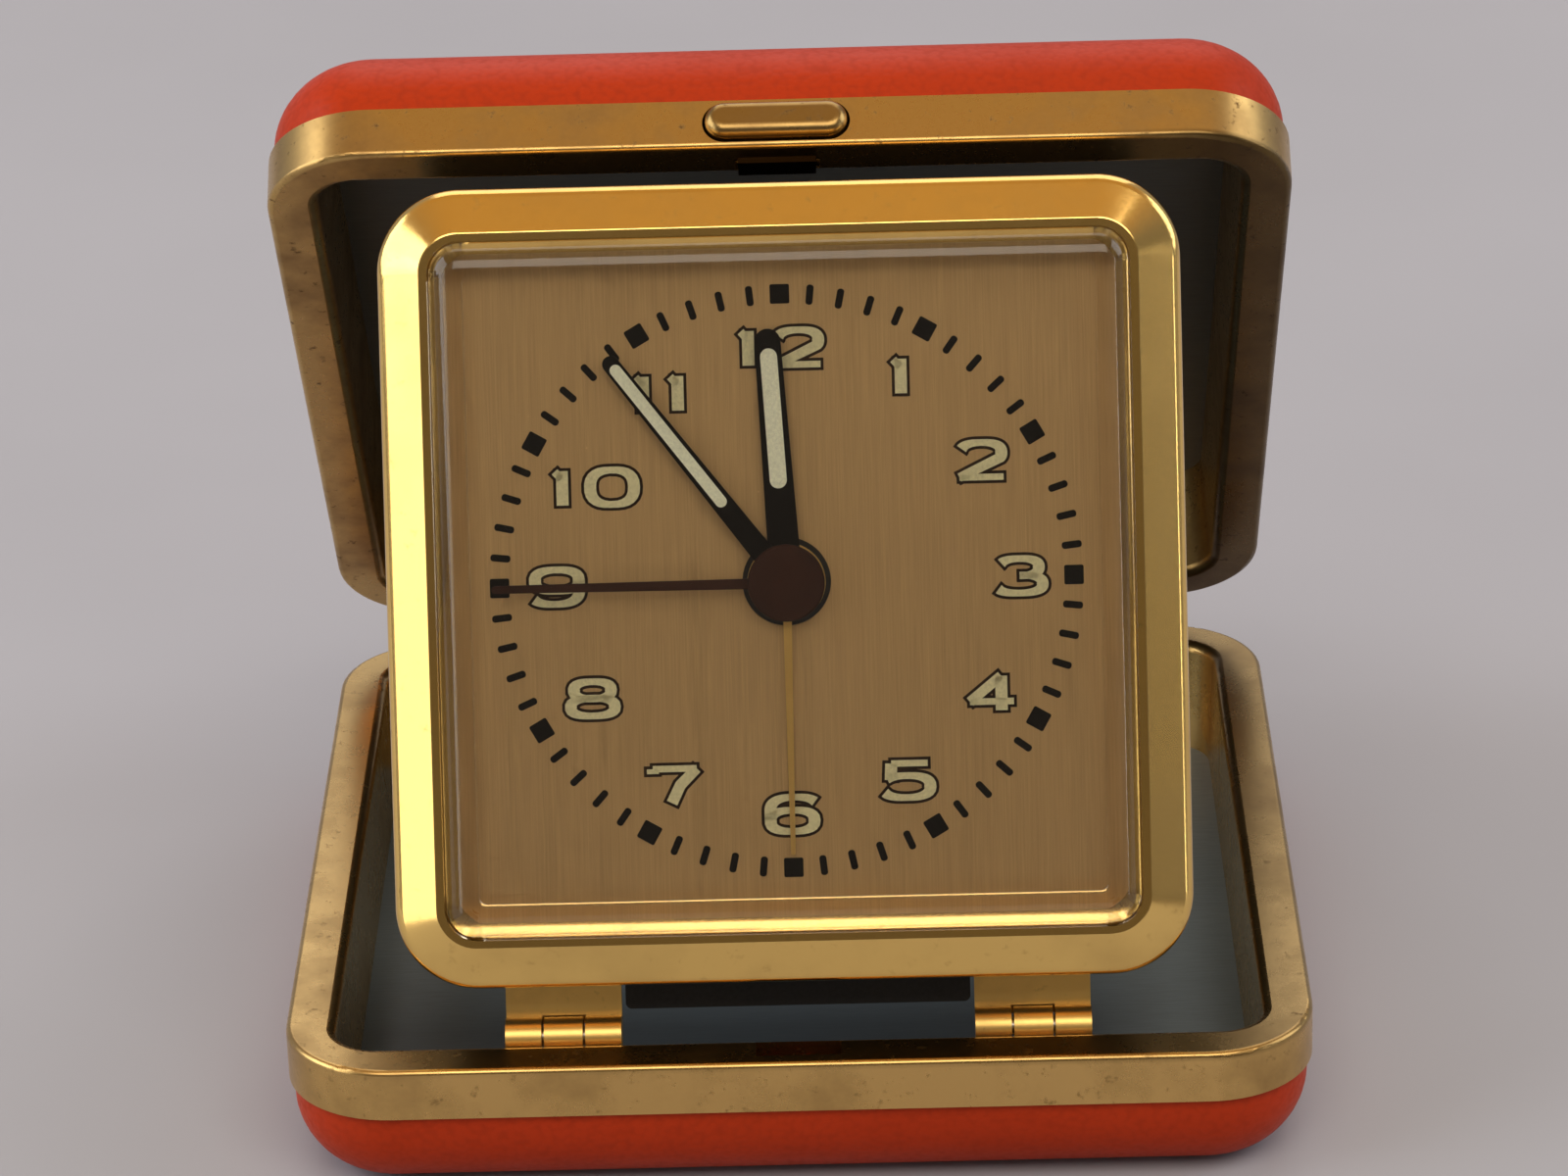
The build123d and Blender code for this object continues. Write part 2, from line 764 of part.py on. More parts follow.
def rotor():
    """The step motor's rotor: magnet and pinion on one arbor."""
    arbor = disc(0, 0, train_arbor_radius, bridge_back, plate_back)
    middle = stator_level - stator_thickness / 2
    arbor += disc(0, 0, magnet_radius, middle - magnet_thickness / 2, middle + magnet_thickness / 2)
    arbor += wheel(rotor_pinion_teeth, train_module,
                   rotor_direction + 180 + half_pitch(rotor_pinion_teeth), idler_level,
                   train_wheel_thickness)
    return Pos(rotor_x, rotor_y, 0) * arbor


def stator():
    """The iron plate round the rotor with two arms up to the coil's core."""
    low = stator_level - stator_thickness
    bar_low = rotor_y - stator_bar_height / 2
    plate = block(-stator_left, stator_right, bar_low, bar_low + stator_bar_height, low,
                  stator_level)
    plate += block(-stator_left, -stator_left + stator_arm_width, bar_low, stator_reach, low,
                   stator_level)
    plate += disc(rotor_x, rotor_y, magnet_radius + stator_hole_gap + stator_eye_wall, low,
                  stator_level)
    plate += block(stator_right - stator_arm_width, stator_right, bar_low, stator_reach, low,
                   stator_level)
    return plate - disc(rotor_x, rotor_y, magnet_radius + stator_hole_gap, low - overrun, 0)


def coil_core():
    """The iron bar behind the stator's arms."""
    return block(-stator_left, stator_right, stator_reach - core_height, stator_reach,
                 core_level - stator_thickness, core_level)


def coil():
    """The wound coil round its core."""
    low = -stator_left + stator_arm_width + coil_side_gap
    high = stator_right - stator_arm_width - coil_side_gap
    middle = core_level - stator_thickness / 2
    winding = cross_bar(low, high, coil_y, middle, coil_radius)
    half_z = stator_thickness / 2 + running_gap
    half_y = core_height / 2 + running_gap
    return winding - block(low - overrun, high + overrun, coil_y - half_y, coil_y + half_y,
                           middle - half_z, middle + half_z)


def bridge_pillars():
    """The places of the bridge's four pillars."""
    x = bridge_width / 2 - pillar_inset
    y = bridge_height / 2 - pillar_inset
    return [(side * x, end * y) for side in (-1, 1) for end in (-1, 1)]


def movement_bridge():
    """The rear plate of the movement on four pillars, with the arbors' holes."""
    plate = rounded_slab(bridge_width / 2, bridge_height / 2, bridge_corner_radius, bridge_back,
                         bridge_level)
    for x, y in bridge_pillars():
        plate += disc(x, y, pillar_radius, bridge_level, plate_back)
    for x in (-setting_distance, setting_distance):
        plate -= disc(x, 0, setting_shaft_radius + running_gap, bridge_back - overrun,
                      bridge_level + overrun)
    for x, y, radius in ((0, 0, second_arbor_radius), (idler_x, idler_y, train_arbor_radius),
                         (rotor_x, rotor_y, train_arbor_radius)):
        plate -= disc(x, y, radius + running_gap, bridge_back - overrun, bridge_level + overrun)
    return plate


def front_plate():
    """The movement's front plate, with the centre hole and the battery's trough."""
    half = plate_half
    plate = rounded_slab(half, half, plate_corner_radius, plate_back, plate_front)
    plate -= disc(0, 0, alarm_pipe_radius + running_gap, plate_back - overrun, 0)
    gap = battery_radius + battery_gap
    return plate - block(door_left, door_right, -battery_drop - gap, -battery_drop + gap,
                         plate_back - overrun, plate_front + overrun)


# Housing and what the rear opens on


def housing_outer():
    """The housing's outside with its rounded rear edge."""
    outer = rounded_slab(housing_half, housing_half, housing_corner_radius, housing_back,
                         -dial_depth)
    return fillet(edges_at(outer, housing_back), housing_edge_radius)


def housing_shell():
    """The housing's outer walls and back."""
    half = housing_half - housing_wall
    radius = housing_corner_radius - housing_wall
    return housing_outer() - rounded_slab(half, half, radius, housing_inner_back,
                                          -dial_depth + overrun)


def screw_places():
    """The places of the housing's four screws."""
    return [(side * screw_x, y) for side in (-1, 1) for y in (screw_top, screw_low)]


def rear_housing():
    """The housing with wells, battery bay, switch slot, sound holes and screw bosses."""
    body = housing_shell()
    floor = well_floor + well_wall
    for x in (-setting_distance, setting_distance):
        body += disc(x, 0, knob_radius + well_gap + well_wall, housing_inner_back, floor)
        body -= disc(x, 0, knob_radius + well_gap, housing_back - overrun, well_floor)
        body -= disc(x, 0, setting_shaft_radius + running_gap, well_floor - overrun,
                     floor + overrun)
    for x, y in screw_places():
        body += disc(x, y, boss_radius, housing_inner_back, plate_back)
        body -= disc(x, y, screw_radius + seat_gap, housing_back - overrun, plate_back + overrun)
        body -= disc(x, y, screw_head_radius + seat_gap * 5, housing_back - overrun,
                     housing_back + screw_head_height)
    bay = battery_radius + battery_gap
    low = -battery_drop - bay
    high = -battery_drop + bay
    body += block(door_left - bay_wall, door_right + bay_wall, low - bay_wall, high + bay_wall,
                  housing_inner_back, plate_back - seat_gap)
    body -= block(door_left, door_right, low, high, housing_back - overrun, plate_back + overrun)
    recess = door_thickness + seat_gap
    body -= block(door_left - door_lip, door_right + door_lip + door_travel + door_gap,
                  low - door_lip, high + door_lip, housing_back - overrun, housing_back + recess)
    slot_x = switch_width / 2 + switch_gap
    slot_low = switch_y - switch_length / 2 - switch_gap
    slot_high = switch_y + switch_length / 2 + switch_travel + switch_gap
    body -= block(switch_x - slot_x, switch_x + slot_x, slot_low, slot_high,
                  housing_back - overrun, housing_inner_back + overrun)
    for index in range(sound_hole_count):
        angle = math.radians(index * 360 / sound_hole_count)
        body -= disc(buzzer_x + sound_ring_radius * math.cos(angle),
                     buzzer_y + sound_ring_radius * math.sin(angle), sound_hole_radius,
                     housing_back - overrun, housing_inner_back + overrun)
    return body


def battery():
    """The round cell with its nub."""
    low = -battery_length / 2
    cell = cross_bar(low, -low, -battery_drop, battery_z, battery_radius)
    return cell + cross_bar(-low, -low + battery_nub_length, -battery_drop, battery_z,
                            battery_nub_radius)


def contact_plate(x_low):
    """A flat contact across the end of the bay."""
    return block(x_low, x_low + contact_thickness, -battery_drop - contact_width / 2,
                 -battery_drop + contact_width / 2, battery_z - contact_height / 2,
                 battery_z + contact_height / 2)


def positive_contact():
    return contact_plate(door_right - contact_thickness - seat_gap)


def negative_contact():
    """A contact bowed towards the cell like a leaf spring."""
    x = door_left + seat_gap
    plate = contact_plate(x)
    half = contact_height / 2
    start = x + contact_thickness
    end = -battery_length / 2 - seat_gap
    outline = Polyline((start, battery_z + half), (end, battery_z), (start, battery_z - half),
                       (start, battery_z - half + contact_thickness),
                       (end - contact_thickness, battery_z),
                       (start, battery_z + half - contact_thickness), close=True)
    plane = Plane(origin=(0, -battery_drop + contact_width / 4, 0), x_dir=(1, 0, 0),
                  z_dir=(0, -1, 0))
    return plate + extrude(plane * make_face(outline), amount=contact_width / 2)


def battery_door():
    """The door flush with the back, with grip grooves at one end."""
    bay = battery_radius + battery_gap
    low_y = -battery_drop - bay - door_lip + door_gap
    high_y = -battery_drop + bay + door_lip - door_gap
    low_x = door_left - door_lip + door_gap
    high_x = door_right + door_lip
    door = block(low_x, high_x, low_y, high_y, housing_back, housing_back + door_thickness)
    for index in range(door_grip_count):
        x = low_x + door_grip_spacing * (index + 1)
        door -= block(x, x + door_grip_width, -battery_drop - door_grip_length / 2,
                      -battery_drop + door_grip_length / 2, housing_back - overrun,
                      housing_back + door_grip_depth)
    return door


def alarm_switch():
    """The alarm slide switch: a ribbed button with a flange inside the wall."""
    half_x = switch_width / 2
    half_y = switch_length / 2
    top = housing_inner_back + running_gap
    button = block(-half_x, half_x, -half_y, half_y, housing_back + running_gap, top)
    button += block(-half_x - switch_flange, half_x + switch_flange, -half_y - switch_flange,
                    half_y + switch_flange, top, top + switch_flange_thickness)
    for index in range(switch_grip_count):
        y = (index - (switch_grip_count - 1) / 2) * switch_grip_spacing
        button += block(-half_x, half_x, y - switch_grip_width / 2, y + switch_grip_width / 2,
                        housing_back + running_gap - switch_grip_height, housing_back + loose_gap)
    return Pos(switch_x, switch_y, 0) * button


def buzzer():
    """The round sounder behind the sound holes."""
    low = housing_inner_back + seat_gap
    return disc(buzzer_x, buzzer_y, buzzer_radius, low, low + buzzer_height)


def housing_screws():
    """Four slotted screws through the bosses."""
    screws = []
    for x, y in screw_places():
        low = housing_back + seat_gap
        head = housing_back + screw_head_height - seat_gap
        screw = disc(x, y, screw_head_radius, low, head)
        screw += disc(x, y, screw_radius, head, plate_back - seat_gap)
        screw -= block(x - screw_head_radius, x + screw_head_radius, y - screw_slot_width / 2,
                       y + screw_slot_width / 2, low - overrun, low + screw_slot_depth)
        screws.append(screw)
    return Compound(screws)


def circuit_board():
    """The board above the bridge, on its edge of the housing's top."""
    high = housing_inner_back + board_lift + board_thickness
    top = housing_half - housing_wall - running_gap
    return block(-board_width / 2, board_width / 2, top - board_height, top,
                 high - board_thickness, high)


def quartz_can():
    """The small can of the quartz resonator, lying on the board."""
    z = housing_inner_back + board_lift + board_thickness + can_radius
    y = housing_half - housing_wall - part_inset
    x = -board_width / 4
    return cross_bar(x - can_length / 2, x + can_length / 2, y, z, can_radius)


def control_chip():
    """The control chip on the board."""
    z = housing_inner_back + board_lift + board_thickness
    y = housing_half - housing_wall - part_inset
    x = board_width / 4
    half = chip_size / 2
    return block(x - half, x + half, y - half, y + half, z, z + chip_height)


def build_case():
    """Write the pieces of the two case halves and their hinge and latch."""
    write("base_cover", case_cover(), base_place)
    write("base_rim", base_rim(), base_place)
    write("base_lining", case_lining(), base_place)
    write("base_hinge_leaf", hinge_leaf(True, hinge_pin_radius + seat_gap), base_place)
    pin = cross_bar(-hinge_length / 2, hinge_length / 2, hinge_y, 0, hinge_pin_radius)
    write("main_hinge_pin", pin, base_place)
    write("lid_cover", case_cover(), lid_place)
    write("lid_rim", lid_rim(), lid_place)
    write("lid_lining", case_lining(), lid_place)
    write("lid_hinge_leaf", hinge_leaf(False, hinge_pin_radius + running_gap), lid_place)
    write("latch_button", latch_button(), lid_place)
    write("latch_spring", latch_spring(), lid_place)
    for name, side in (("left", -1), ("right", 1)):
        x = side * strap_spacing / 2
        write("hinge_bracket_" + name, Pos(x, 0, 0) * hinge_bracket(), base_place)
        write("hinge_strap_" + name, Pos(x, 0, 0) * hinge_strap(), clock_place)
    write("clock_hinge_pins", clock_hinge_pins(), base_place)


def build_clock():
    """Write the pieces of the clock unit."""
    hour_lume_low = hour_hand_low + hour_hand_thickness
    minute_lume_low = minute_hand_low + minute_hand_thickness
    pieces = {
        "clock_bezel": clock_bezel(), "crystal": crystal(), "dial": dial(),
        "alarm_hand": alarm_hand(), "hour_hand": hour_hand(), "minute_hand": minute_hand(),
        "second_hand": second_hand(), "centre_cap": centre_cap(),
        "hour_lume": turned(lume_strip(hour_lume_width, hour_lume_start, hour_lume_end,
                                       hour_lume_low), hour_angle),
        "minute_lume": turned(lume_strip(minute_lume_width, minute_lume_start, minute_lume_end,
                                         minute_lume_low), minute_angle),
        "second_arbor": second_arbor(), "minute_pipe": minute_pipe(), "hour_wheel": hour_wheel(),
        "alarm_wheel": alarm_wheel(), "time_arbor": time_arbor(), "alarm_arbor": alarm_arbor(),
        "time_knob": setting_knob(setting_distance), "alarm_knob": setting_knob(-setting_distance),
        "idler_wheel": idler(), "motor_rotor": rotor(), "stator": stator(),
        "coil_core": coil_core(), "coil": coil(), "movement_bridge": movement_bridge(),
        "front_plate": front_plate(), "rear_housing": rear_housing(), "battery": battery(),
        "positive_contact": positive_contact(), "negative_contact": negative_contact(),
        "battery_door": battery_door(), "alarm_switch": alarm_switch(), "buzzer": buzzer(),
        "housing_screws": housing_screws(), "circuit_board": circuit_board(),
        "quartz_can": quartz_can(), "control_chip": control_chip(),
    }
    for name, shape in pieces.items():
        write(name, shape, clock_place)


os.makedirs("parts", exist_ok=True)
build_case()
build_clock()
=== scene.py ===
"""Folding travel clock: its finishes, dial printing, strap strip, stage and camera."""

import json
import math

import bpy
import numpy as np
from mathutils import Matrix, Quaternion, Vector


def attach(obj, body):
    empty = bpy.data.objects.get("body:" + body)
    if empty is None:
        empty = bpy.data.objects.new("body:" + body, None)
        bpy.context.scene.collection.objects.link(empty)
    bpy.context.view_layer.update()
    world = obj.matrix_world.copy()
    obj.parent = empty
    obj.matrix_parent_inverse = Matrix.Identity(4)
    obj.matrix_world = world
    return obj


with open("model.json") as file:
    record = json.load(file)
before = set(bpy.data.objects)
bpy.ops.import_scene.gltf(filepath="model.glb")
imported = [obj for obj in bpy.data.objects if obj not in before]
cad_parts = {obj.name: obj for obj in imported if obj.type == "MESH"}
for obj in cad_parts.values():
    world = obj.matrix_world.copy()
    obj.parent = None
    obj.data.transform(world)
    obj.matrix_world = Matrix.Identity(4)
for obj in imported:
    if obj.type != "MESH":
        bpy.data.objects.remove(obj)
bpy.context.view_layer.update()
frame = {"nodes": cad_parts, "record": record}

bl_info = {
    "name": "Folding travel clock",
    "version": (1, 0, 0),
    "blender": (4, 5, 0),
    "location": "3D View > Sidebar > Travel Clock",
    "description": "Finishes, dial printing and studio stage of a folding travel clock",
    "category": "Object",
}

MM = 0.001
JOINTS = {joint["name"]: joint for joint in frame["record"]["behaviour"]["joints"]}
ACROSS = Vector((1, 0, 0))
AHEAD = Vector((0, -1, 0))
UP = Vector((0, 0, 1))
FACE_OUT = Vector(JOINTS["minute_hand_turn"]["axis"]).normalized()
FACE_UP = FACE_OUT.cross(ACROSS)
FACE_LEAN = math.atan2(FACE_UP.z, FACE_UP.y)


def node_points(name):
    """The corners of a CAD node's mesh as rows of X, Y and Z, in metres."""
    mesh = frame["nodes"][name].data
    points = np.empty(len(mesh.vertices) * 3)
    mesh.vertices.foreach_get("co", points)
    return points.reshape(-1, 3)


def dial_centre():
    """The point on the dial's front where the hands' line passes through it."""
    hub = Vector(JOINTS["minute_hand_turn"]["pos_m"])
    front = float((node_points("dial") @ np.array(FACE_OUT)).max())
    return hub + FACE_OUT * (front - hub.dot(FACE_OUT))


# Sizes and colours that a user can change

class ClockPrintSizes(bpy.types.PropertyGroup):
    """Sizes of the printing on the dial and of the strip between the straps."""

    mark_circle: bpy.props.FloatProperty(
        name="Mark circle", description="Distance of the minute marks from the centre",
        default=22.0 * MM, unit="LENGTH")
    minute_length: bpy.props.FloatProperty(
        name="Minute length", description="Length of a minute mark", default=1.55 * MM,
        unit="LENGTH")
    minute_width: bpy.props.FloatProperty(
        name="Minute width", description="Width of a minute mark", default=0.56 * MM, unit="LENGTH")
    hour_side: bpy.props.FloatProperty(
        name="Hour square", description="Side of an hour mark", default=1.5 * MM, unit="LENGTH")
    numeral_circle: bpy.props.FloatProperty(
        name="Numeral circle", description="Distance of the numerals from the centre",
        default=17.9 * MM, unit="LENGTH")
    numeral_height: bpy.props.FloatProperty(
        name="Numeral height", description="Height of a numeral with its outline",
        default=3.6 * MM, unit="LENGTH")
    digit_width: bpy.props.FloatProperty(
        name="Digit width", description="Width of a round digit with its outline",
        default=4.75 * MM, unit="LENGTH")
    one_width: bpy.props.FloatProperty(
        name="One width", description="Width of the digit one with its outline",
        default=2.1 * MM, unit="LENGTH")
    digit_gap: bpy.props.FloatProperty(
        name="Digit gap", description="Gap between the two digits of a numeral",
        default=0.55 * MM, unit="LENGTH")
    thick_stroke: bpy.props.FloatProperty(
        name="Thick stroke", description="Width of an upright stroke", default=0.92 * MM,
        unit="LENGTH")
    thin_stroke: bpy.props.FloatProperty(
        name="Thin stroke", description="Width of a level stroke", default=0.5 * MM, unit="LENGTH")
    outline: bpy.props.FloatProperty(
        name="Outline", description="Width of the dark line round a numeral",
        default=0.23 * MM, unit="LENGTH")
    ink_height: bpy.props.FloatProperty(
        name="Ink height", description="Thickness of one layer of ink", default=0.02 * MM,
        unit="LENGTH")
    strip_width: bpy.props.FloatProperty(
        name="Strip width", description="Width of the black strip between the straps",
        default=26.8 * MM, unit="LENGTH")
    strip_height: bpy.props.FloatProperty(
        name="Strip height", description="How far the black strip hangs below the housing",
        default=4.2 * MM, unit="LENGTH")
    strip_thickness: bpy.props.FloatProperty(
        name="Strip thickness", description="Thickness of the black strip", default=0.4 * MM,
        unit="LENGTH")


class ClockColours(bpy.types.PropertyGroup):
    """Colours of the finishes, as linear values."""

    cover: bpy.props.FloatVectorProperty(
        name="Cover", description="Grained covers", default=(0.45, 0.035, 0.005),
        subtype="COLOR", size=3, min=0, max=1)
    case_brass: bpy.props.FloatVectorProperty(
        name="Case brass", description="Brass of the two rims",
        default=(0.70, 0.45, 0.16), subtype="COLOR", size=3, min=0, max=1)
    bezel_brass: bpy.props.FloatVectorProperty(
        name="Bezel brass", description="Polished brass of the bezel and straps",
        default=(0.90, 0.60, 0.19), subtype="COLOR", size=3, min=0, max=1)
    tarnish: bpy.props.FloatVectorProperty(
        name="Tarnish", description="Brown patches on the brass",
        default=(0.22, 0.12, 0.045), subtype="COLOR", size=3, min=0, max=1)
    lining: bpy.props.FloatVectorProperty(
        name="Lining", description="Satin panels inside the case",
        default=(0.17, 0.21, 0.23), subtype="COLOR", size=3, min=0, max=1)
    dial: bpy.props.FloatVectorProperty(
        name="Dial", description="Brushed dial plate", default=(0.55, 0.365, 0.165),
        subtype="COLOR", size=3, min=0, max=1)
    lume: bpy.props.FloatVectorProperty(
        name="Hand paint", description="Luminous strips on the hands",
        default=(0.93, 0.95, 0.70), subtype="COLOR", size=3, min=0, max=1)
    numeral: bpy.props.FloatVectorProperty(
        name="Numeral paint", description="Aged luminous paint of the numerals",
        default=(0.80, 0.74, 0.42), subtype="COLOR", size=3, min=0, max=1)
    ink: bpy.props.FloatVectorProperty(
        name="Ink", description="Dark outlines of the numerals",
        default=(0.022, 0.010, 0.005), subtype="COLOR", size=3, min=0, max=1)
    black: bpy.props.FloatVectorProperty(
        name="Black", description="Black marks, hands and plastics",
        default=(0.0022, 0.0019, 0.0018), subtype="COLOR", size=3, min=0, max=1)
    brown: bpy.props.FloatVectorProperty(
        name="Brown", description="Second hand and cap", default=(0.036, 0.013, 0.008),
        subtype="COLOR", size=3, min=0, max=1)
    floor: bpy.props.FloatVectorProperty(
        name="Floor", description="Pale floor", default=(0.40, 0.41, 0.46),
        subtype="COLOR", size=3, min=0, max=1)


class ClockView(bpy.types.PropertyGroup):
    """Where the camera stands and how the frame is set."""

    target: bpy.props.FloatVectorProperty(
        name="Target", description="Point that the camera turns round",
        default=(0.0, -3.5 * MM, 32.0 * MM), subtype="XYZ", unit="LENGTH", size=3)
    distance: bpy.props.FloatProperty(
        name="Distance", description="From the target to the camera", default=0.478, unit="LENGTH")
    azimuth: bpy.props.FloatProperty(
        name="Azimuth", description="Turn of the camera to the right of the clock",
        default=math.radians(0.96), unit="ROTATION")
    elevation: bpy.props.FloatProperty(
        name="Elevation", description="Height of the camera above the horizon",
        default=math.radians(25.41), unit="ROTATION")
    roll: bpy.props.FloatProperty(
        name="Roll", description="Turn of the picture against the clock",
        default=math.radians(1.8), unit="ROTATION")
    lens: bpy.props.FloatProperty(
        name="Lens", description="Focal length for a 36 mm sensor, in millimetres",
        default=136.35, unit="CAMERA")
    target_column: bpy.props.FloatProperty(
        name="Target column", description="Column of the target in a picture 1600 wide",
        default=808.6, subtype="PIXEL")
    target_row: bpy.props.FloatProperty(
        name="Target row", description="Row of the target in a picture 1200 high",
        default=644.4, subtype="PIXEL")


# Shader maths

class Value:
    """One output socket. Arithmetic on a socket that carries a number adds Math nodes."""

    def __init__(self, nodes, socket):
        self.nodes = nodes
        self.socket = socket

    def maths(self, operation, first, second):
        return self.nodes.node("ShaderNodeMath", {0: first, 1: second}, {"operation": operation})

    def __add__(self, other):
        return self.maths("ADD", self, other)

    __radd__ = __add__

    def __sub__(self, other):
        return self.maths("SUBTRACT", self, other)

    def __rsub__(self, other):
        return self.maths("SUBTRACT", other, self)

    def __mul__(self, other):
        return self.maths("MULTIPLY", self, other)

    __rmul__ = __mul__


# The Mix node's sockets for colours, by number because their names repeat
MIX_SHARE = 0
MIX_FIRST = 6
MIX_SECOND = 7
MIX_RESULT = 2


class Nodes:
    """A node tree, and the one method that adds nodes to it."""

    def __init__(self, tree):
        self.tree = tree

    def feed(self, socket, value):
        """Links a Value to a socket, or sets a plain number, vector or colour on it."""
        if isinstance(value, Value):
            self.tree.links.new(value.socket, socket)
        elif socket.type == "RGBA":
            socket.default_value = (*value, 1.0)
        else:
            socket.default_value = value

    def node(self, kind, sockets=None, settings=None, out=0):
        """Adds a node, sets its settings first and then its sockets, and gives one output."""
        made = self.tree.nodes.new(kind)
        for name, value in (settings or {}).items():
            setattr(made, name, value)
        for name, value in (sockets or {}).items():
            self.feed(made.inputs[name], value)
        return Value(self, made.outputs[out])

    def between(self, value, low, high, start=0.0, end=1.0):
        """Maps low..high to start..end and keeps the result inside that range."""
        return self.node("ShaderNodeMapRange", {
            "Value": value, "From Min": low, "From Max": high, "To Min": start, "To Max": end})

    def mixed(self, share, first, second):
        """The first colour where share is 0 and the second where it is 1."""
        return self.node("ShaderNodeMix", {MIX_SHARE: share, MIX_FIRST: first, MIX_SECOND: second},
                         {"data_type": "RGBA"}, out=MIX_RESULT)


class Finish(Nodes):
    """A material with one Principled shader, and the patterns that its inputs need."""

    def __init__(self, name):
        self.material = bpy.data.materials.new(name)
        self.material.use_nodes = True
        super().__init__(self.material.node_tree)
        self.shader = self.tree.nodes["Principled BSDF"]
        self.place = self.node("ShaderNodeTexCoord", out="Object")

    def on(self, **inputs):
        """Sets the shader's inputs, named with underscores for spaces."""
        for name, value in inputs.items():
            self.feed(self.shader.inputs[name.replace("_", " ")], value)
        return self

    def scaled(self, factors, turn=0.0):
        """Object coordinates turned about X by an angle, then stretched along each axis."""
        turned = self.node("ShaderNodeMapping", {"Vector": self.place, "Rotation": (turn, 0, 0)})
        return self.node("ShaderNodeMapping", {"Vector": turned, "Scale": factors})

    def noise(self, scale, detail=2.0, roughness=0.5, at=None):
        """Soft noise from 0 to 1, with a scale in cells per metre."""
        return self.node("ShaderNodeTexNoise", {
            "Vector": at or self.place, "Scale": scale, "Detail": detail, "Roughness": roughness})

    def cells(self, scale, feature="F1"):
        """Distance from 0 to 1 within rounded cells, with a scale in cells per metre."""
        return self.node("ShaderNodeTexVoronoi", {"Vector": self.place, "Scale": scale},
                         {"feature": feature}, out="Distance")

    def relief(self, height, depth, strength=1.0):
        """A normal bent by a height from 0 to 1 that stands for depth metres."""
        return self.node("ShaderNodeBump", {
            "Height": height, "Distance": depth, "Strength": strength})


# Finishes of this clock

# Where painted shade darkens a finish: the heights between which the shaded part starts, over the
# lid's parting plane for the lid and the hook and over the floor for the base, then the places
# across or ahead between which it deepens, with its share at each of the two
HOOK_EDGE = (-0.1 * MM, 0.4 * MM)
LID_FLANGE_EDGE = (0.3 * MM, 0.7 * MM)
LID_FLANGE_RIGHT = (22.0 * MM, 34.0 * MM)
LID_FLANGE_SHARES = (0.0, 0.78)
BASE_FLANGE_EDGE = (11.3 * MM, 11.7 * MM)
BASE_FLANGE_RIGHT = (-34.0 * MM, 34.0 * MM)
BASE_FLANGE_SHARES = (0.08, 0.36)
LINING_AHEAD = (0.0, 15.0 * MM)
LINING_AHEAD_SHARES = (0.0, 0.75)
LINING_RIGHT = (22.0 * MM, 30.0 * MM)
LINING_RIGHT_SHARES = (1.0, 0.3)

# Colours of the pieces that are mostly hidden, as linear values
PIN_STEEL = (0.46, 0.45, 0.43)
MOTOR_STEEL = (0.5, 0.49, 0.47)
BATTERY_STEEL = (0.42, 0.43, 0.45)
BRIDGE_PLASTIC = (0.62, 0.62, 0.58)
WHEEL_PLASTIC = (0.68, 0.62, 0.46)
# The winding's painted shade and painted highlight across each turn
WIRE_SHADE = (0.22, 0.06, 0.02)
WIRE_HIGHLIGHT = (0.62, 0.24, 0.09)
BOARD_PATH = (0.10, 0.24, 0.09)
BOARD_LACQUER = (0.02, 0.10, 0.035)

# How the lid's lining is painted darker and browner than the lower one as painted shade, as shares
# of red, green and blue
LID_LINING_SHADE = (0.5, 0.4, 0.32)


def shade(colour, factor):
    """The colour with each part multiplied by a factor, and kept at 1 or under."""
    return tuple(min(1.0, part * factor) for part in colour)


def tinted(colour, tint):
    """The colour multiplied by a tint, part by part."""
    return tuple(part * share for part, share in zip(colour, tint))


def grained_cover(colour):
    """Smooth coated cover with a fine pebbled grain, slightly darker in its creases as painted
    shade.
    """
    finish = Finish("grained_cover")
    pebbles = finish.cells(2100, "SMOOTH_F1")
    creases = finish.between(pebbles, 0.35, 0.75)
    clouds = finish.noise(scale=70, detail=4)
    # Painted shade: the creases of the grain are darkened
    base = finish.mixed(creases * 0.35, shade(colour, 1.05), shade(colour, 0.6))
    base = finish.mixed(finish.between(clouds, 0.35, 0.75, 0.0, 0.35), base, shade(colour, 0.7))
    fine = finish.noise(scale=5200, detail=2)
    height = finish.between(pebbles, 0.1, 0.8, 1.0, 0.0) + fine * 0.25
    rough = finish.between(clouds, 0.3, 0.7, 0.36, 0.48) + creases * 0.08
    finish.on(Base_Color=base, Roughness=rough, Specular_IOR_Level=0.12, Coat_Weight=0.03,
              Coat_Roughness=0.3, Normal=finish.relief(height, depth=22e-6, strength=0.7))
    return finish.material


def along(finish, direction):
    """The place of a point of the surface along a direction."""
    return finish.node("ShaderNodeVectorMath", {0: finish.place, 1: tuple(direction)},
                       {"operation": "DOT_PRODUCT"}, out="Value")


def lid_depth(finish):
    """The height of a point of the surface over the lid's parting plane."""
    inward = ACROSS.cross(Vector(JOINTS["latch_press"]["axis"]).normalized())
    return along(finish, inward) - inward.dot(Vector(JOINTS["lid_hinge"]["pos_m"]))


def hook_share(finish):
    """The share of painted shade: 1 on the latch's hook, beyond the lid's parting plane, and 0 on
    the button.
    """
    return finish.between(lid_depth(finish), *HOOK_EDGE, 1.0, 0.0)


def lid_flange_share(finish):
    """The share of painted shade: rises to the right on the lid's flange, and is 0 on the band."""
    flat = finish.between(lid_depth(finish), *LID_FLANGE_EDGE, 1.0, 0.0)
    return flat * finish.between(along(finish, ACROSS), *LID_FLANGE_RIGHT, *LID_FLANGE_SHARES)


def base_flange_share(finish):
    """The share of painted shade: rises to the right on the lower shell's flange, and is 0 on the
    band.
    """
    flat = finish.between(along(finish, UP), *BASE_FLANGE_EDGE)
    return flat * finish.between(along(finish, ACROSS), *BASE_FLANGE_RIGHT, *BASE_FLANGE_SHARES)


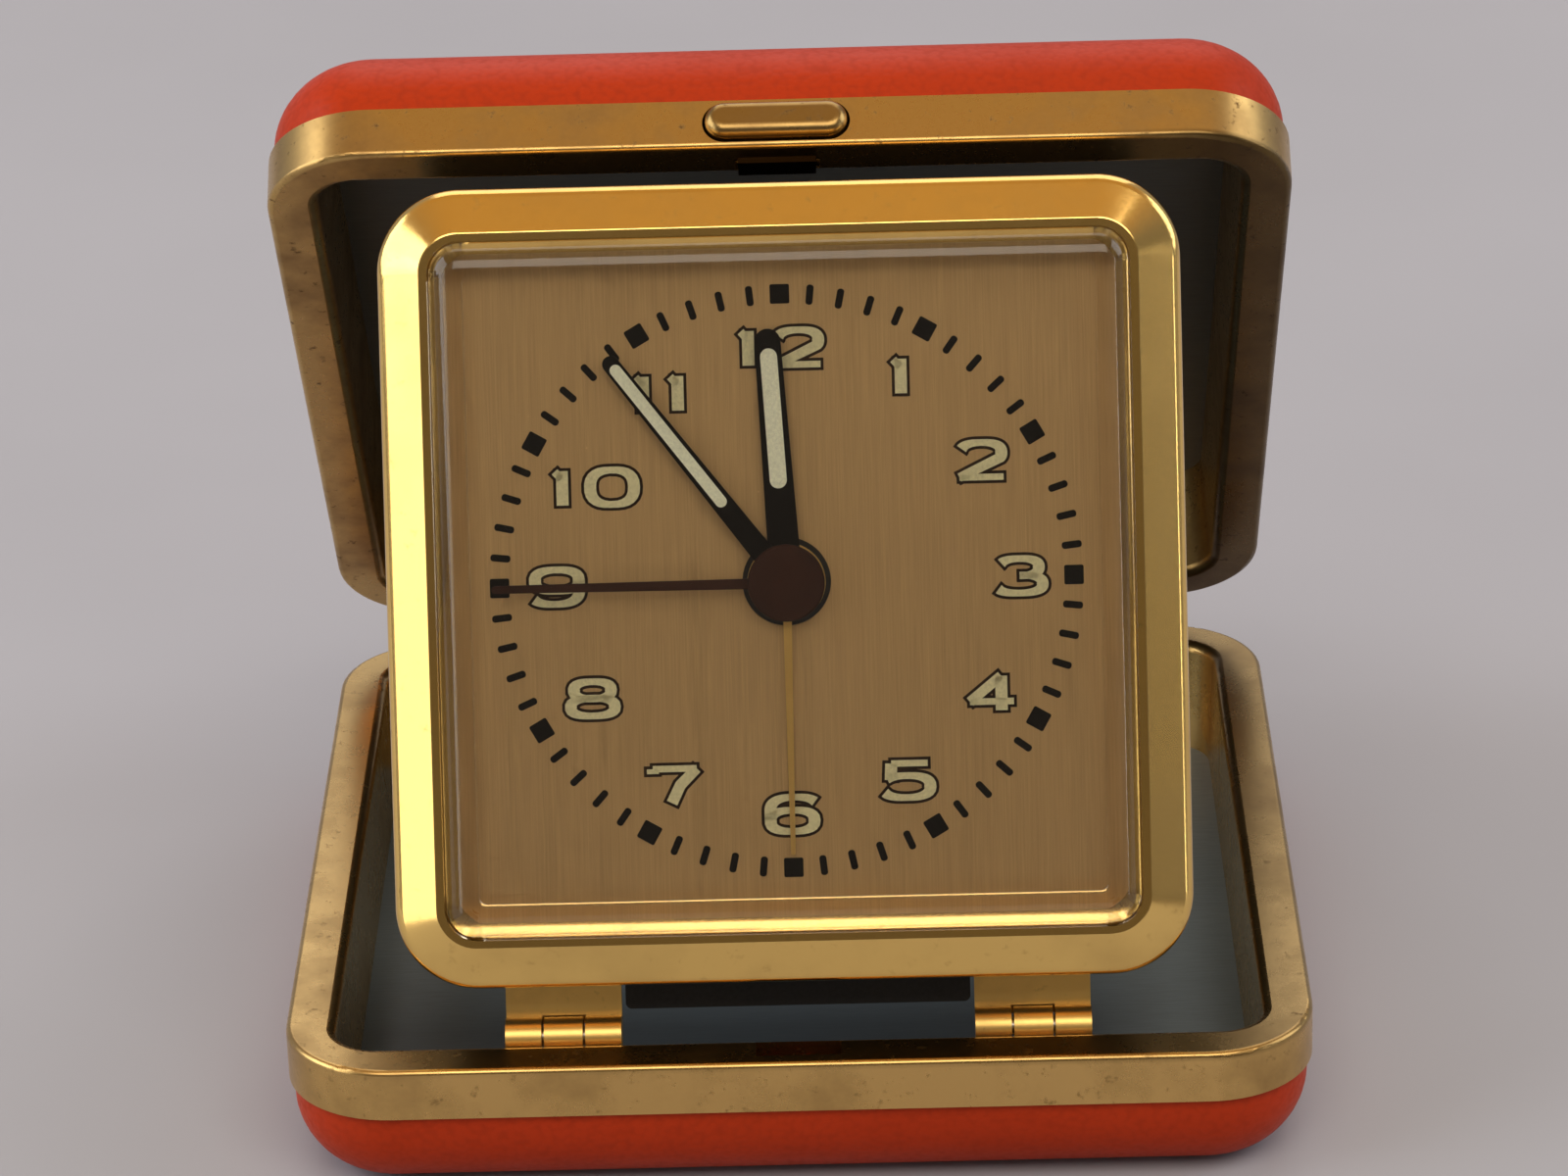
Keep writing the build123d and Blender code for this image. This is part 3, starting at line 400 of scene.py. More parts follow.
def lining_share(finish):
    """Rises to the front of the lower lining, where the clock's shadow is painted onto the satin.
    """
    near = finish.between(along(finish, AHEAD), *LINING_AHEAD, *LINING_AHEAD_SHARES)
    return near * finish.between(along(finish, ACROSS), *LINING_RIGHT, *LINING_RIGHT_SHARES)


def aged_brass(name, colour, tarnish, rough, patches, painted_shade_share=None):
    """Brass with brown patches, small dark spots, an uneven polish and a part darkened by painted
    shade.
    """
    finish = Finish(name)
    clouds = finish.noise(scale=120, detail=5, roughness=0.6)
    spots = finish.noise(scale=900, detail=3, roughness=0.65)
    cloud_share = finish.between(clouds, 0.45, 0.75, 0.0, patches)
    spot_share = finish.between(spots, 0.62, 0.75, 0.0, patches)
    base = finish.mixed(cloud_share, colour, tarnish)
    base = finish.mixed(spot_share, base, shade(tarnish, 0.6))
    # Painted shade: the given share darkens the brass towards near-black tarnish
    if painted_shade_share:
        base = finish.mixed(painted_shade_share(finish), base, shade(tarnish, 0.1))
    scuffs = finish.noise(scale=2600, detail=3, roughness=0.6)
    roughness = rough + cloud_share * 0.18 + spot_share * 0.25 + scuffs * 0.06
    finish.on(Base_Color=base, Roughness=roughness, Metallic=1.0,
              Normal=finish.relief(scuffs + clouds * 0.5, depth=4e-6, strength=0.6))
    return finish.material


def satin_lining(name, colour, painted_shade_share=None):
    """Smooth satin: close threads along X, faint clouds in its shine and a part darkened by painted
    shade.
    """
    finish = Finish(name)
    threads = finish.noise(scale=1.0, detail=3, roughness=0.5, at=finish.scaled((420, 6500, 6500)))
    clouds = finish.noise(scale=45, detail=3)
    base = finish.mixed(finish.between(threads, 0.35, 0.65), shade(colour, 0.9), shade(colour, 1.1))
    base = finish.mixed(finish.between(clouds, 0.3, 0.7, 0.0, 0.3), base, shade(colour, 0.8))
    # Painted shade: the given share darkens the satin to a tenth of its colour
    if painted_shade_share:
        base = finish.mixed(painted_shade_share(finish), base, shade(colour, 0.1))
    finish.on(Base_Color=base, Roughness=finish.between(clouds, 0.3, 0.7, 0.38, 0.52),
              Sheen_Weight=0.2, Sheen_Roughness=0.35,
              Normal=finish.relief(threads, depth=8e-6, strength=0.4))
    return finish.material


def brushed_dial(colour):
    """Champagne metal brushed up and down the face, with pale specks of dust."""
    finish = Finish("brushed_dial")
    streaks = finish.noise(scale=1.0, detail=4, roughness=0.65,
                           at=finish.scaled((9000, 130, 130), turn=-FACE_LEAN))
    bands = finish.noise(scale=1.0, detail=3, roughness=0.5,
                         at=finish.scaled((900, 25, 25), turn=-FACE_LEAN))
    dust = finish.noise(scale=2300, detail=2, roughness=0.5)
    base = finish.mixed(finish.between(streaks, 0.3, 0.7), shade(colour, 0.86), shade(colour, 1.12))
    base = finish.mixed(finish.between(bands, 0.35, 0.65, 0.0, 0.35), base, shade(colour, 0.85))
    base = finish.mixed(finish.between(dust, 0.76, 0.82, 0.0, 0.5), base, shade(colour, 1.5))
    roughness = finish.between(bands, 0.3, 0.7, 0.42, 0.52) + streaks * 0.06
    finish.on(Base_Color=base, Roughness=roughness, Metallic=0.9,
              Normal=finish.relief(streaks, depth=6e-6, strength=0.5))
    return finish.material


def clear_crystal():
    """Moulded clear acrylic with a few fine scuffs."""
    finish = Finish("clear_crystal")
    scuffs = finish.noise(scale=420, detail=5, roughness=0.7)
    finish.on(Base_Color=(1.0, 0.99, 0.97), Roughness=finish.between(scuffs, 0.45, 0.8, 0.0, 0.05),
              Transmission_Weight=1.0, IOR=1.49, Specular_IOR_Level=0.12)
    return finish.material


def even_paint(name, colour, rough):
    """A sprayed coat: a slight orange peel and a little unevenness of tone."""
    finish = Finish(name)
    peel = finish.noise(scale=2600, detail=3)
    tone = finish.between(finish.noise(scale=400, detail=3), 0.3, 0.7)
    finish.on(Base_Color=finish.mixed(tone, shade(colour, 0.85), shade(colour, 1.2)),
              Roughness=finish.between(peel, 0.3, 0.7, rough, rough + 0.1), Specular_IOR_Level=0.05,
              Normal=finish.relief(peel, depth=8e-6, strength=0.35))
    return finish.material


def luminous_paint(name, colour):
    """Thick pale luminous paint with a grainy surface."""
    finish = Finish(name)
    grains = finish.noise(scale=4200, detail=4, roughness=0.7)
    base = finish.mixed(finish.between(grains, 0.35, 0.7), shade(colour, 1.06), shade(colour, 0.82))
    finish.on(Base_Color=base, Roughness=0.6,
              Normal=finish.relief(grains, depth=20e-6, strength=0.6))
    return finish.material


def moulded_plastic(name, colour, rough):
    """Moulded plastic with a fine spark-eroded texture."""
    finish = Finish(name)
    texture = finish.noise(scale=3000, detail=4, roughness=0.6)
    wear = finish.between(finish.noise(scale=150, detail=4), 0.45, 0.75)
    finish.on(Base_Color=finish.mixed(wear, colour, shade(colour, 1.5)),
              Roughness=finish.between(texture, 0.3, 0.7, rough, rough + 0.12),
              Normal=finish.relief(texture, depth=14e-6, strength=0.5))
    return finish.material


def drawn_steel(name, colour, rough):
    """Rolled steel with fine lines along X."""
    finish = Finish(name)
    lines = finish.noise(scale=1.0, detail=3, roughness=0.6, at=finish.scaled((300, 6000, 6000)))
    clouds = finish.noise(scale=250, detail=4)
    base = finish.mixed(finish.between(lines, 0.3, 0.7), shade(colour, 0.85), shade(colour, 1.15))
    finish.on(Base_Color=base, Roughness=rough + clouds * 0.15, Metallic=1.0,
              Normal=finish.relief(lines, depth=5e-6, strength=0.5))
    return finish.material


def copper_winding():
    """Enamelled wire wound close, with its turns across X, each turn painted with a highlight and
    shade.
    """
    finish = Finish("copper_winding")
    turns = finish.node("ShaderNodeTexWave", {"Vector": finish.place, "Scale": 1600.0},
                        {"bands_direction": "X"}, out="Fac")
    base = finish.mixed(turns, WIRE_SHADE, WIRE_HIGHLIGHT)
    finish.on(Base_Color=base, Roughness=0.3, Metallic=0.8, Coat_Weight=0.4,
              Normal=finish.relief(turns, depth=40e-6, strength=0.8))
    return finish.material


def resin_board():
    """Green lacquered board with paler paths under the lacquer."""
    finish = Finish("resin_board")
    paths = finish.cells(500, "DISTANCE_TO_EDGE")
    base = finish.mixed(finish.between(paths, 0.04, 0.07), BOARD_PATH, BOARD_LACQUER)
    raised = finish.between(paths, 0.02, 0.08, 1.0, 0.0)
    finish.on(Base_Color=base, Roughness=0.3, Coat_Weight=0.3,
              Normal=finish.relief(raised, depth=20e-6, strength=0.4))
    return finish.material


# Meshes

def add_piece(name, points, faces, material, body):
    """Makes a mesh piece from places in metres and faces, and hands it to its body and slot."""
    mesh = bpy.data.meshes.new(name)
    mesh.from_pydata(np.asarray(points).tolist(), [], faces)
    mesh.validate()
    mesh.materials.append(material)
    piece = bpy.data.objects.new(name, mesh)
    bpy.context.scene.collection.objects.link(piece)
    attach(piece, body)
    return piece


def dress(material, *names):
    """Gives CAD nodes a finish in the material slots that they already have."""
    for name in names:
        node = frame["nodes"][name]
        if not node.material_slots:
            raise RuntimeError(f"{name} has no material slot")
        for held in node.material_slots:
            held.material = material


def on_dial(points):
    """Places in metres of rows of across, up and height on the dial, counted from its centre."""
    axes = np.array([ACROSS, FACE_UP, FACE_OUT])
    return np.array(dial_centre()) + points @ axes


def rounded_outline(width, height, radius, steps):
    """An outline of four straight sides joined by quarter circles, as rows of X and Y.

    Each corner's centre is half of either side less the radius from the middle, and the points
    lie on the circle about it at equal angles.
    """
    angles = np.linspace(0, 2 * math.pi, 4 * steps, endpoint=False) + math.pi / (4 * steps)
    quarter = np.floor(angles / (math.pi / 2))
    signs = np.stack([np.where((quarter == 0) | (quarter == 3), 1, -1),
                      np.where(quarter < 2, 1, -1)], axis=1)
    corner = signs * np.array([width / 2 - radius, height / 2 - radius])
    return corner + radius * np.stack([np.cos(angles), np.sin(angles)], axis=1)


def standing_plates(outline, turns, low, high):
    """Copies of a flat plate, one for each clockwise turn t, as points and faces.

    In a copy the outline's x becomes x cos t + y sin t and its y becomes y cos t - x sin t, and
    the copy has these points once at the low level and once at the high one.
    """
    count = len(outline)
    cosine = np.cos(turns)[:, None]
    sine = np.sin(turns)[:, None]
    x = outline[None, :, 0] * cosine + outline[None, :, 1] * sine
    y = outline[None, :, 1] * cosine - outline[None, :, 0] * sine
    flat = np.stack([x, y], axis=2)
    layers = [np.concatenate([flat, np.full(x.shape + (1,), level)], axis=2)
              for level in (low, high)]
    points = np.concatenate(layers, axis=1).reshape(-1, 3)
    faces = []
    for start in range(0, len(points), count * 2):
        lower = start + np.arange(count)
        upper = lower + count
        walls = np.stack([lower, np.roll(lower, -1), np.roll(upper, -1), upper], axis=1)
        faces += [upper.tolist(), lower[::-1].tolist(), *walls.tolist()]
    return points, faces


# The power that makes a digit's bowls squarer than an ellipse
BOWL_POWER = 0.8


def bowl(centre_x, centre_y, radius_x, radius_y, start, end, steps=28):
    """Points on a squared ellipse, from a start angle to an end angle in degrees.

    A point is the centre plus each radius times the angle's cosine or sine, raised to a power
    under one with its sign kept.
    """
    angles = np.radians(np.linspace(start, end, steps))
    x = np.sign(np.cos(angles)) * np.abs(np.cos(angles)) ** BOWL_POWER
    y = np.sign(np.sin(angles)) * np.abs(np.sin(angles)) ** BOWL_POWER
    return np.stack([centre_x + radius_x * x, centre_y + radius_y * y], axis=1)


def run(*corners):
    """Straight runs through the corners."""
    return np.array(corners, dtype=float)


# Each digit's strokes along their middle lines, as shares of the digit's width and height
DIGIT_STROKES = {
    "0": [bowl(0.5, 0.5, 0.5, 0.5, 0, 360)],
    "1": [run((0.72, 0.0), (0.72, 1.0)), run((0.0, 0.80), (0.62, 0.95))],
    "2": [np.concatenate([bowl(0.5, 0.70, 0.46, 0.30, 160, -25), run((0.0, 0.0))]),
          run((0.0, 0.0), (1.0, 0.0))],
    "3": [bowl(0.48, 0.75, 0.44, 0.25, 155, -90), bowl(0.48, 0.26, 0.52, 0.26, 90, -155)],
    "4": [run((0.72, 0.0), (0.72, 1.0)), run((0.72, 1.0), (0.0, 0.26)),
          run((0.0, 0.26), (1.0, 0.26))],
    "5": [run((0.12, 1.0), (0.95, 1.0)), run((0.12, 1.0), (0.10, 0.52)),
          bowl(0.46, 0.32, 0.54, 0.32, 140, -155)],
    "6": [bowl(0.5, 0.31, 0.5, 0.31, 0, 360),
          np.concatenate([run((0.0, 0.31)), bowl(0.55, 0.6, 0.55, 0.4, 180, 35)])],
    "7": [run((0.0, 1.0), (1.0, 1.0)), run((1.0, 1.0), (0.62, 0.52), (0.42, 0.0)),
          run((0.0, 1.0), (0.0, 0.86))],
    "8": [bowl(0.5, 0.75, 0.42, 0.25, 0, 360), bowl(0.5, 0.26, 0.5, 0.26, 0, 360)],
    "9": [bowl(0.5, 0.69, 0.5, 0.31, 0, 360),
          np.concatenate([run((1.0, 0.69)), bowl(0.45, 0.4, 0.55, 0.4, 0, -145)])],
}


# The least cosine of half a bend that a ribbon's width is divided by
SHARPEST_MITRE = 0.6


def stroke_ribbon(path, closed, thick, thin, grow, low, high):
    """A flat ribbon along a path, wide where it runs up and narrow where it runs level.

    Its half width is half of thin + (thick - thin) |upward part of the direction|, plus grow,
    over the cosine of half the bend. An open ribbon runs grow past each end. Points are the
    path plus and minus the half width along its normal.
    """
    ahead = np.roll(path, -1, axis=0) - path
    behind = path - np.roll(path, 1, axis=0)
    if not closed:
        ahead[-1] = behind[-1]
        behind[0] = ahead[0]
    ahead = ahead / np.linalg.norm(ahead, axis=1, keepdims=True)
    behind = behind / np.linalg.norm(behind, axis=1, keepdims=True)
    course = ahead + behind
    course = course / np.linalg.norm(course, axis=1, keepdims=True)
    mitre = 1 / np.maximum(SHARPEST_MITRE, np.abs(np.sum(course * ahead, axis=1)))
    half = ((thin + (thick - thin) * np.abs(course[:, 1])) / 2 + grow) * mitre
    side = np.stack([-course[:, 1], course[:, 0]], axis=1) * half[:, None]
    line = path.copy()
    if not closed:
        line[0] = line[0] - course[0] * grow
        line[-1] = line[-1] + course[-1] * grow
    left = line + side
    right = line - side
    count = len(path)
    rings = [(right, low), (left, low), (left, high), (right, high)]
    points = np.concatenate([np.column_stack([ring, np.full(count, level)])
                             for ring, level in rings])
    steps = np.arange(count if closed else count - 1)[:, None]
    after = (steps + 1) % count
    first = np.arange(4)[None, :] * count
    second = np.roll(first, -1)
    sides = np.stack([first + steps, first + after, second + after, second + steps], axis=2)
    faces = sides.reshape(-1, 4)
    if not closed:
        end = first[0]
        faces = np.vstack([faces, end, end[::-1] + count - 1])
    return points, faces


# Degrees on the dial from one minute or hour to the next
MINUTE_TURN = 6
HOUR_TURN = 30

# How far some numerals stand off their circle, across and up, in millimetres
NUMERAL_NUDGES = {2: (-0.4, 0.0), 8: (0.4, 0.3), 9: (0.3, 0.0), 10: (1.0, -1.4), 11: (-0.5, -0.9)}


def numeral_layout(number, sizes):
    """The digits of a number with the left edge and width of each, centred on its own middle."""
    digits = str(number)
    widths = [sizes.one_width if digit == "1" else sizes.digit_width for digit in digits]
    total = sum(widths) + sizes.digit_gap * (len(digits) - 1)
    left = -total / 2
    places = []
    for digit, width in zip(digits, widths):
        places.append((digit, left, width))
        left += width + sizes.digit_gap
    return places


def numeral_ribbons(sizes, grow, low, high):
    """All the ribbons of the twelve numerals, as one set of points and faces on the dial.

    A numeral's middle is at (sin t, cos t) times the circle, with t its hour's angle, and a few
    stand a little off it, by nudges in millimetres across and up.
    """
    points, faces, used = [], [], 0
    for number in range(1, 13):
        angle = math.radians(HOUR_TURN * number)
        middle = np.array([math.sin(angle), math.cos(angle)]) * sizes.numeral_circle
        middle = middle + np.array(NUMERAL_NUDGES.get(number, (0.0, 0.0))) * MM
        for digit, left, width in numeral_layout(number, sizes):
            inner_width = width - sizes.outline * 2 - sizes.thick_stroke
            inner_height = sizes.numeral_height - sizes.outline * 2 - sizes.thin_stroke
            corner = middle + np.array([left + (width - inner_width) / 2, -inner_height / 2])
            for stroke in DIGIT_STROKES[digit]:
                path = corner + stroke * np.array([inner_width, inner_height])
                closed = bool(np.allclose(path[0], path[-1]))
                path = path[:-1] if closed else path
                ribbon, sides = stroke_ribbon(path, closed, sizes.thick_stroke, sizes.thin_stroke,
                                              grow, low, high)
                points.append(ribbon)
                faces.append(sides + used)
                used += len(ribbon)
    return np.concatenate(points), np.concatenate(faces).tolist()


# Corner radii as shares of a plate's smaller side, points on a corner, and layers of paint
MINUTE_CORNER_SHARE = 0.45
HOUR_CORNER_SHARE = 0.1
STRIP_CORNER_SHARE = 0.12
CORNER_STEPS = 4
PAINT_LAYERS = 3

# How many of its own thicknesses the strip stands behind the line of the clock's hinge
STRIP_SETBACK = 2


# One operator for each piece or group of like pieces

class TRAVELCLOCK_OT_covers(bpy.types.Operator):
    """Finishes the two grained covers"""

    bl_idname = "travel_clock.covers"
    bl_label = "Grained covers"

    def execute(self, context):
        dress(grained_cover(context.scene.clock_colours.cover), "base_cover", "lid_cover")
        return {"FINISHED"}


class TRAVELCLOCK_OT_case_brass(bpy.types.Operator):
    """Finishes the brass rims, the main hinge and the latch"""

    bl_idname = "travel_clock.case_brass"
    bl_label = "Case brass"

    def execute(self, context):
        colours = context.scene.clock_colours
        brass, tarnish = colours.case_brass, colours.tarnish
        # Painted shade: the lid's rim is more tarnished and, as painted shade, a darker copy of the
        # case brass; the rims' flanges and the latch's hook are painted darker too
        rims = aged_brass("rim_brass", brass, tarnish, rough=0.22, patches=0.55,
                          painted_shade_share=base_flange_share)
        worn_and_shaded = aged_brass("worn_and_shaded_brass", shade(brass, 0.8), tarnish, rough=0.25, patches=0.9,
                          painted_shade_share=lid_flange_share)
        dull = aged_brass("latch_brass", shade(brass, 0.5), tarnish, rough=0.25, patches=0.9,
                          painted_shade_share=hook_share)
        dress(rims, "base_rim", "base_hinge_leaf", "lid_hinge_leaf")
        dress(worn_and_shaded, "lid_rim")
        dress(dull, "latch_button")
        return {"FINISHED"}


class TRAVELCLOCK_OT_linings(bpy.types.Operator):
    """Finishes the satin panels inside the case"""

    bl_idname = "travel_clock.linings"
    bl_label = "Linings"

    def execute(self, context):
        lining = context.scene.clock_colours.lining
        # The lower lining carries a painted shadow under the clock, darkest at the front
        dress(satin_lining("base_satin", lining, painted_shade_share=lining_share), "base_lining")
        # The lid's lining is a shaded copy of the lower lining: painted shade
        dress(satin_lining("lid_satin_shaded", tinted(lining, LID_LINING_SHADE)), "lid_lining")
        return {"FINISHED"}


class TRAVELCLOCK_OT_bezel(bpy.types.Operator):
    """Finishes the polished bezel, and the straps and brackets of the clock's hinge"""

    bl_idname = "travel_clock.bezel"
    bl_label = "Bezel and straps"

    def execute(self, context):
        colours = context.scene.clock_colours
        brass, tarnish = colours.bezel_brass, colours.tarnish
        polished = aged_brass("bezel_brass", brass, tarnish, rough=0.12, patches=0.22)
        rolled = aged_brass("strap_brass", brass, tarnish, rough=0.34, patches=0.35)
        dress(polished, "clock_bezel")
        dress(rolled, "hinge_strap_left", "hinge_strap_right", "hinge_bracket_left",
              "hinge_bracket_right")
        return {"FINISHED"}


class TRAVELCLOCK_OT_strip(bpy.types.Operator):
    """Hangs the thin black strip between the two straps, under the housing; it stands partly for a
    black part and partly for the shade under the clock
    """

    bl_idname = "travel_clock.strip"
    bl_label = "Strip between the straps"

    def execute(self, context):
        sizes = context.scene.clock_print_sizes
        pivot = Vector(JOINTS["clock_hinge"]["pos_m"]) - dial_centre()
        front = pivot.dot(FACE_OUT) - sizes.strip_thickness * STRIP_SETBACK
        housing = node_points("rear_housing") - np.array(dial_centre())
        under = float((housing @ np.array(FACE_UP)).min())
        middle = np.array([0, under - sizes.strip_height / 2])
        outline = rounded_outline(sizes.strip_width, sizes.strip_height,
                                  sizes.strip_height * STRIP_CORNER_SHARE, CORNER_STEPS)
        points, faces = standing_plates(outline + middle, np.zeros(1),
                                        front - sizes.strip_thickness, front)
        # Partly painted shade: a black plate where the clock's shade falls between the straps
        matt = moulded_plastic("shade_strip_plastic", context.scene.clock_colours.black, rough=0.6)
        add_piece("strap_shade_strip", on_dial(points), faces, matt, "clock")
        return {"FINISHED"}


class TRAVELCLOCK_OT_crystal(bpy.types.Operator):
    """Finishes the clear crystal"""

    bl_idname = "travel_clock.crystal"
    bl_label = "Crystal"

    def execute(self, context):
        dress(clear_crystal(), "crystal")
        return {"FINISHED"}


class TRAVELCLOCK_OT_dial(bpy.types.Operator):
    """Finishes the dial plate and prints its minute and hour marks"""

    bl_idname = "travel_clock.dial"
    bl_label = "Dial and marks"

    def execute(self, context):
        colours = context.scene.clock_colours
        sizes = context.scene.clock_print_sizes
        dress(brushed_dial(colours.dial), "dial")
        ink = even_paint("mark_ink", colours.black, rough=0.4)
        minutes = np.radians([MINUTE_TURN * minute for minute in range(60) if minute % 5])
        hours = np.radians([HOUR_TURN * hour for hour in range(12)])
        lift = np.array([0, sizes.mark_circle])
        minute_plan = rounded_outline(sizes.minute_width, sizes.minute_length,
                                      sizes.minute_width * MINUTE_CORNER_SHARE, CORNER_STEPS)
        hour_plan = rounded_outline(sizes.hour_side, sizes.hour_side,
                                    sizes.hour_side * HOUR_CORNER_SHARE, CORNER_STEPS)
        for name, plan, turns in (("minute_marks", minute_plan, minutes),
                                  ("hour_marks", hour_plan, hours)):
            points, faces = standing_plates(plan + lift, turns, 0.0, sizes.ink_height)
            add_piece(name, on_dial(points), faces, ink, "clock")
        return {"FINISHED"}


class TRAVELCLOCK_OT_numerals(bpy.types.Operator):
    """Draws the twelve outlined numerals"""

    bl_idname = "travel_clock.numerals"
    bl_label = "Numerals"

    def execute(self, context):
        colours = context.scene.clock_colours
        sizes = context.scene.clock_print_sizes
        ink = even_paint("numeral_ink", colours.ink, rough=0.4)
        points, faces = numeral_ribbons(sizes, sizes.outline, 0.0, sizes.ink_height)
        add_piece("numeral_outlines", on_dial(points), faces, ink, "clock")
        points, faces = numeral_ribbons(sizes, 0.0, 0.0, sizes.ink_height * PAINT_LAYERS)
        paint = luminous_paint("numeral_paint", colours.numeral)
        add_piece("numeral_fills", on_dial(points), faces, paint, "clock")
        return {"FINISHED"}


class TRAVELCLOCK_OT_hands(bpy.types.Operator):
    """Finishes the hands, their luminous strips and the cap"""

    bl_idname = "travel_clock.hands"
    bl_label = "Hands"

    def execute(self, context):
        colours = context.scene.clock_colours
        dress(even_paint("hand_black", colours.black, rough=0.35), "hour_hand", "minute_hand")
        dress(even_paint("hand_brown", colours.brown, rough=0.38), "second_hand", "centre_cap")
        dress(luminous_paint("hand_paint", colours.lume), "hour_lume", "minute_lume")
        brass = aged_brass("hand_brass", colours.bezel_brass, colours.tarnish, rough=0.3,
                           patches=0.2)
        dress(brass, "alarm_hand")
        return {"FINISHED"}


class TRAVELCLOCK_OT_hinge_steel(bpy.types.Operator):
    """Finishes the steel pins, latch spring and screws"""

    bl_idname = "travel_clock.hinge_steel"
    bl_label = "Hinge steel"

    def execute(self, context):
        plain = drawn_steel("plain_steel", PIN_STEEL, rough=0.28)
        dress(plain, "main_hinge_pin", "clock_hinge_pins", "latch_spring", "housing_screws")
        return {"FINISHED"}


class TRAVELCLOCK_OT_housing(bpy.types.Operator):
    """Finishes the black housing, battery door, switch and knobs"""

    bl_idname = "travel_clock.housing"
    bl_label = "Housing"

    def execute(self, context):
        black = context.scene.clock_colours.black
        dress(moulded_plastic("housing_plastic", shade(black, 5.0), rough=0.42),
              "rear_housing", "battery_door")
        dress(moulded_plastic("knob_plastic", shade(black, 8.0), rough=0.34),
              "time_knob", "alarm_knob", "alarm_switch")
        return {"FINISHED"}


class TRAVELCLOCK_OT_movement(bpy.types.Operator):
    """Finishes the pieces inside the housing"""

    bl_idname = "travel_clock.movement"
    bl_label = "Movement"

    def execute(self, context):
        colours = context.scene.clock_colours
        dress(moulded_plastic("plate_plastic", shade(colours.black, 4.0), rough=0.5), "front_plate")
        dress(moulded_plastic("bridge_plastic", BRIDGE_PLASTIC, rough=0.4), "movement_bridge")
        dress(moulded_plastic("wheel_plastic", WHEEL_PLASTIC, rough=0.35),
              "minute_pipe", "hour_wheel", "alarm_wheel", "second_arbor", "time_arbor",
              "alarm_arbor", "idler_wheel", "motor_rotor")
        dress(drawn_steel("motor_steel", MOTOR_STEEL, rough=0.3),
              "stator", "coil_core", "positive_contact", "negative_contact", "quartz_can")
        dress(copper_winding(), "coil")
        dress(resin_board(), "circuit_board")
        dress(even_paint("chip_resin", colours.black, rough=0.3), "control_chip")
        dress(drawn_steel("battery_jacket", BATTERY_STEEL, rough=0.32), "battery")
        brass = aged_brass("buzzer_brass", colours.bezel_brass, colours.tarnish, rough=0.25,
                           patches=0.2)
        dress(brass, "buzzer")
        return {"FINISHED"}


class TRAVELCLOCK_OT_stage(bpy.types.Operator):
    """Lays the pale floor, sets the soft lights and places the camera"""

    bl_idname = "travel_clock.stage"
    bl_label = "Stage"

    def execute(self, context):
        lay_floor(context.scene.clock_colours.floor)
        light_room(context.scene)
        place_camera(context.scene)
        context.scene.view_settings.view_transform = "Standard"
        return {"FINISHED"}


# The stage and the camera

# Half of the floor's side, and the floor's gap under the lower case
FLOOR_HALF = 1.5
FLOOR_GAP = 0.02 * MM


def lay_floor(colour):
    """A flat square floor, three metres across, just under the lower case."""
    signs = ((-1, -1), (1, -1), (1, 1), (-1, 1))
    corners = [(x * FLOOR_HALF, y * FLOOR_HALF, -FLOOR_GAP) for x, y in signs]
    mesh = bpy.data.meshes.new("floor")
    mesh.from_pydata(corners, [], [(0, 1, 2, 3)])
    finish = Finish("pale_floor")
    clouds = finish.noise(scale=14, detail=3)
    finish.on(Base_Color=finish.mixed(finish.between(clouds, 0.3, 0.7), shade(colour, 0.97),
                                      shade(colour, 1.03)), Roughness=0.85)
    mesh.materials.append(finish.material)
    floor = bpy.data.objects.new("floor", mesh)
    bpy.context.scene.collection.objects.link(floor)


def soft_box(name, place, aim, width, height, watts, colour):
    """A rectangular area lamp at a place, turned to an aim."""
    data = bpy.data.lights.new(name, "AREA")
    data.shape = "RECTANGLE"
    data.size = width
    data.size_y = height
    data.energy = watts
    data.color = colour
    lamp = bpy.data.objects.new(name, data)
    lamp.location = place
    lamp.rotation_mode = "QUATERNION"
    lamp.rotation_quaternion = (Vector(aim) - Vector(place)).to_track_quat("-Z", "Y")
    bpy.context.scene.collection.objects.link(lamp)


# Where every lamp points
LAMP_AIM = (0.0, 0.0, 0.03)

# Each lamp's name, place, width, height, watts and colour
SOFT_BOXES = (
    ("left_window", (-0.75, -0.10, 0.42), 0.7, 0.6, 3.6, (0.94, 0.97, 1.0)),
    ("left_sash", (-0.68, -0.50, 0.20), 0.20, 0.5, 0.62, (1.0, 0.98, 0.92)),
    ("right_window", (0.80, 0.05, 0.45), 0.5, 0.6, 2.2, (0.94, 0.97, 1.0)),
    ("right_sash", (0.72, -0.38, 0.16), 0.04, 0.3, 0.16, (1.0, 0.98, 0.94)),
    ("back_light", (0.05, 0.60, 0.75), 0.8, 0.8, 2.6, (0.96, 0.97, 1.0)),
    ("front_light", (0.10, -0.62, 0.80), 0.9, 0.5, 4.4, (1.0, 0.93, 0.82)),
)

# The room: colours of its front, back and ceiling, and the directions between which they change
ROOM_FRONT = (0.13, 0.105, 0.08)
ROOM_BACK = (0.34, 0.35, 0.40)
ROOM_CEILING = (0.52, 0.32, 0.12)
FRONT_TO_BACK = (-0.9, 0.3)
WALL_TO_CEILING = (0.5, 0.95)


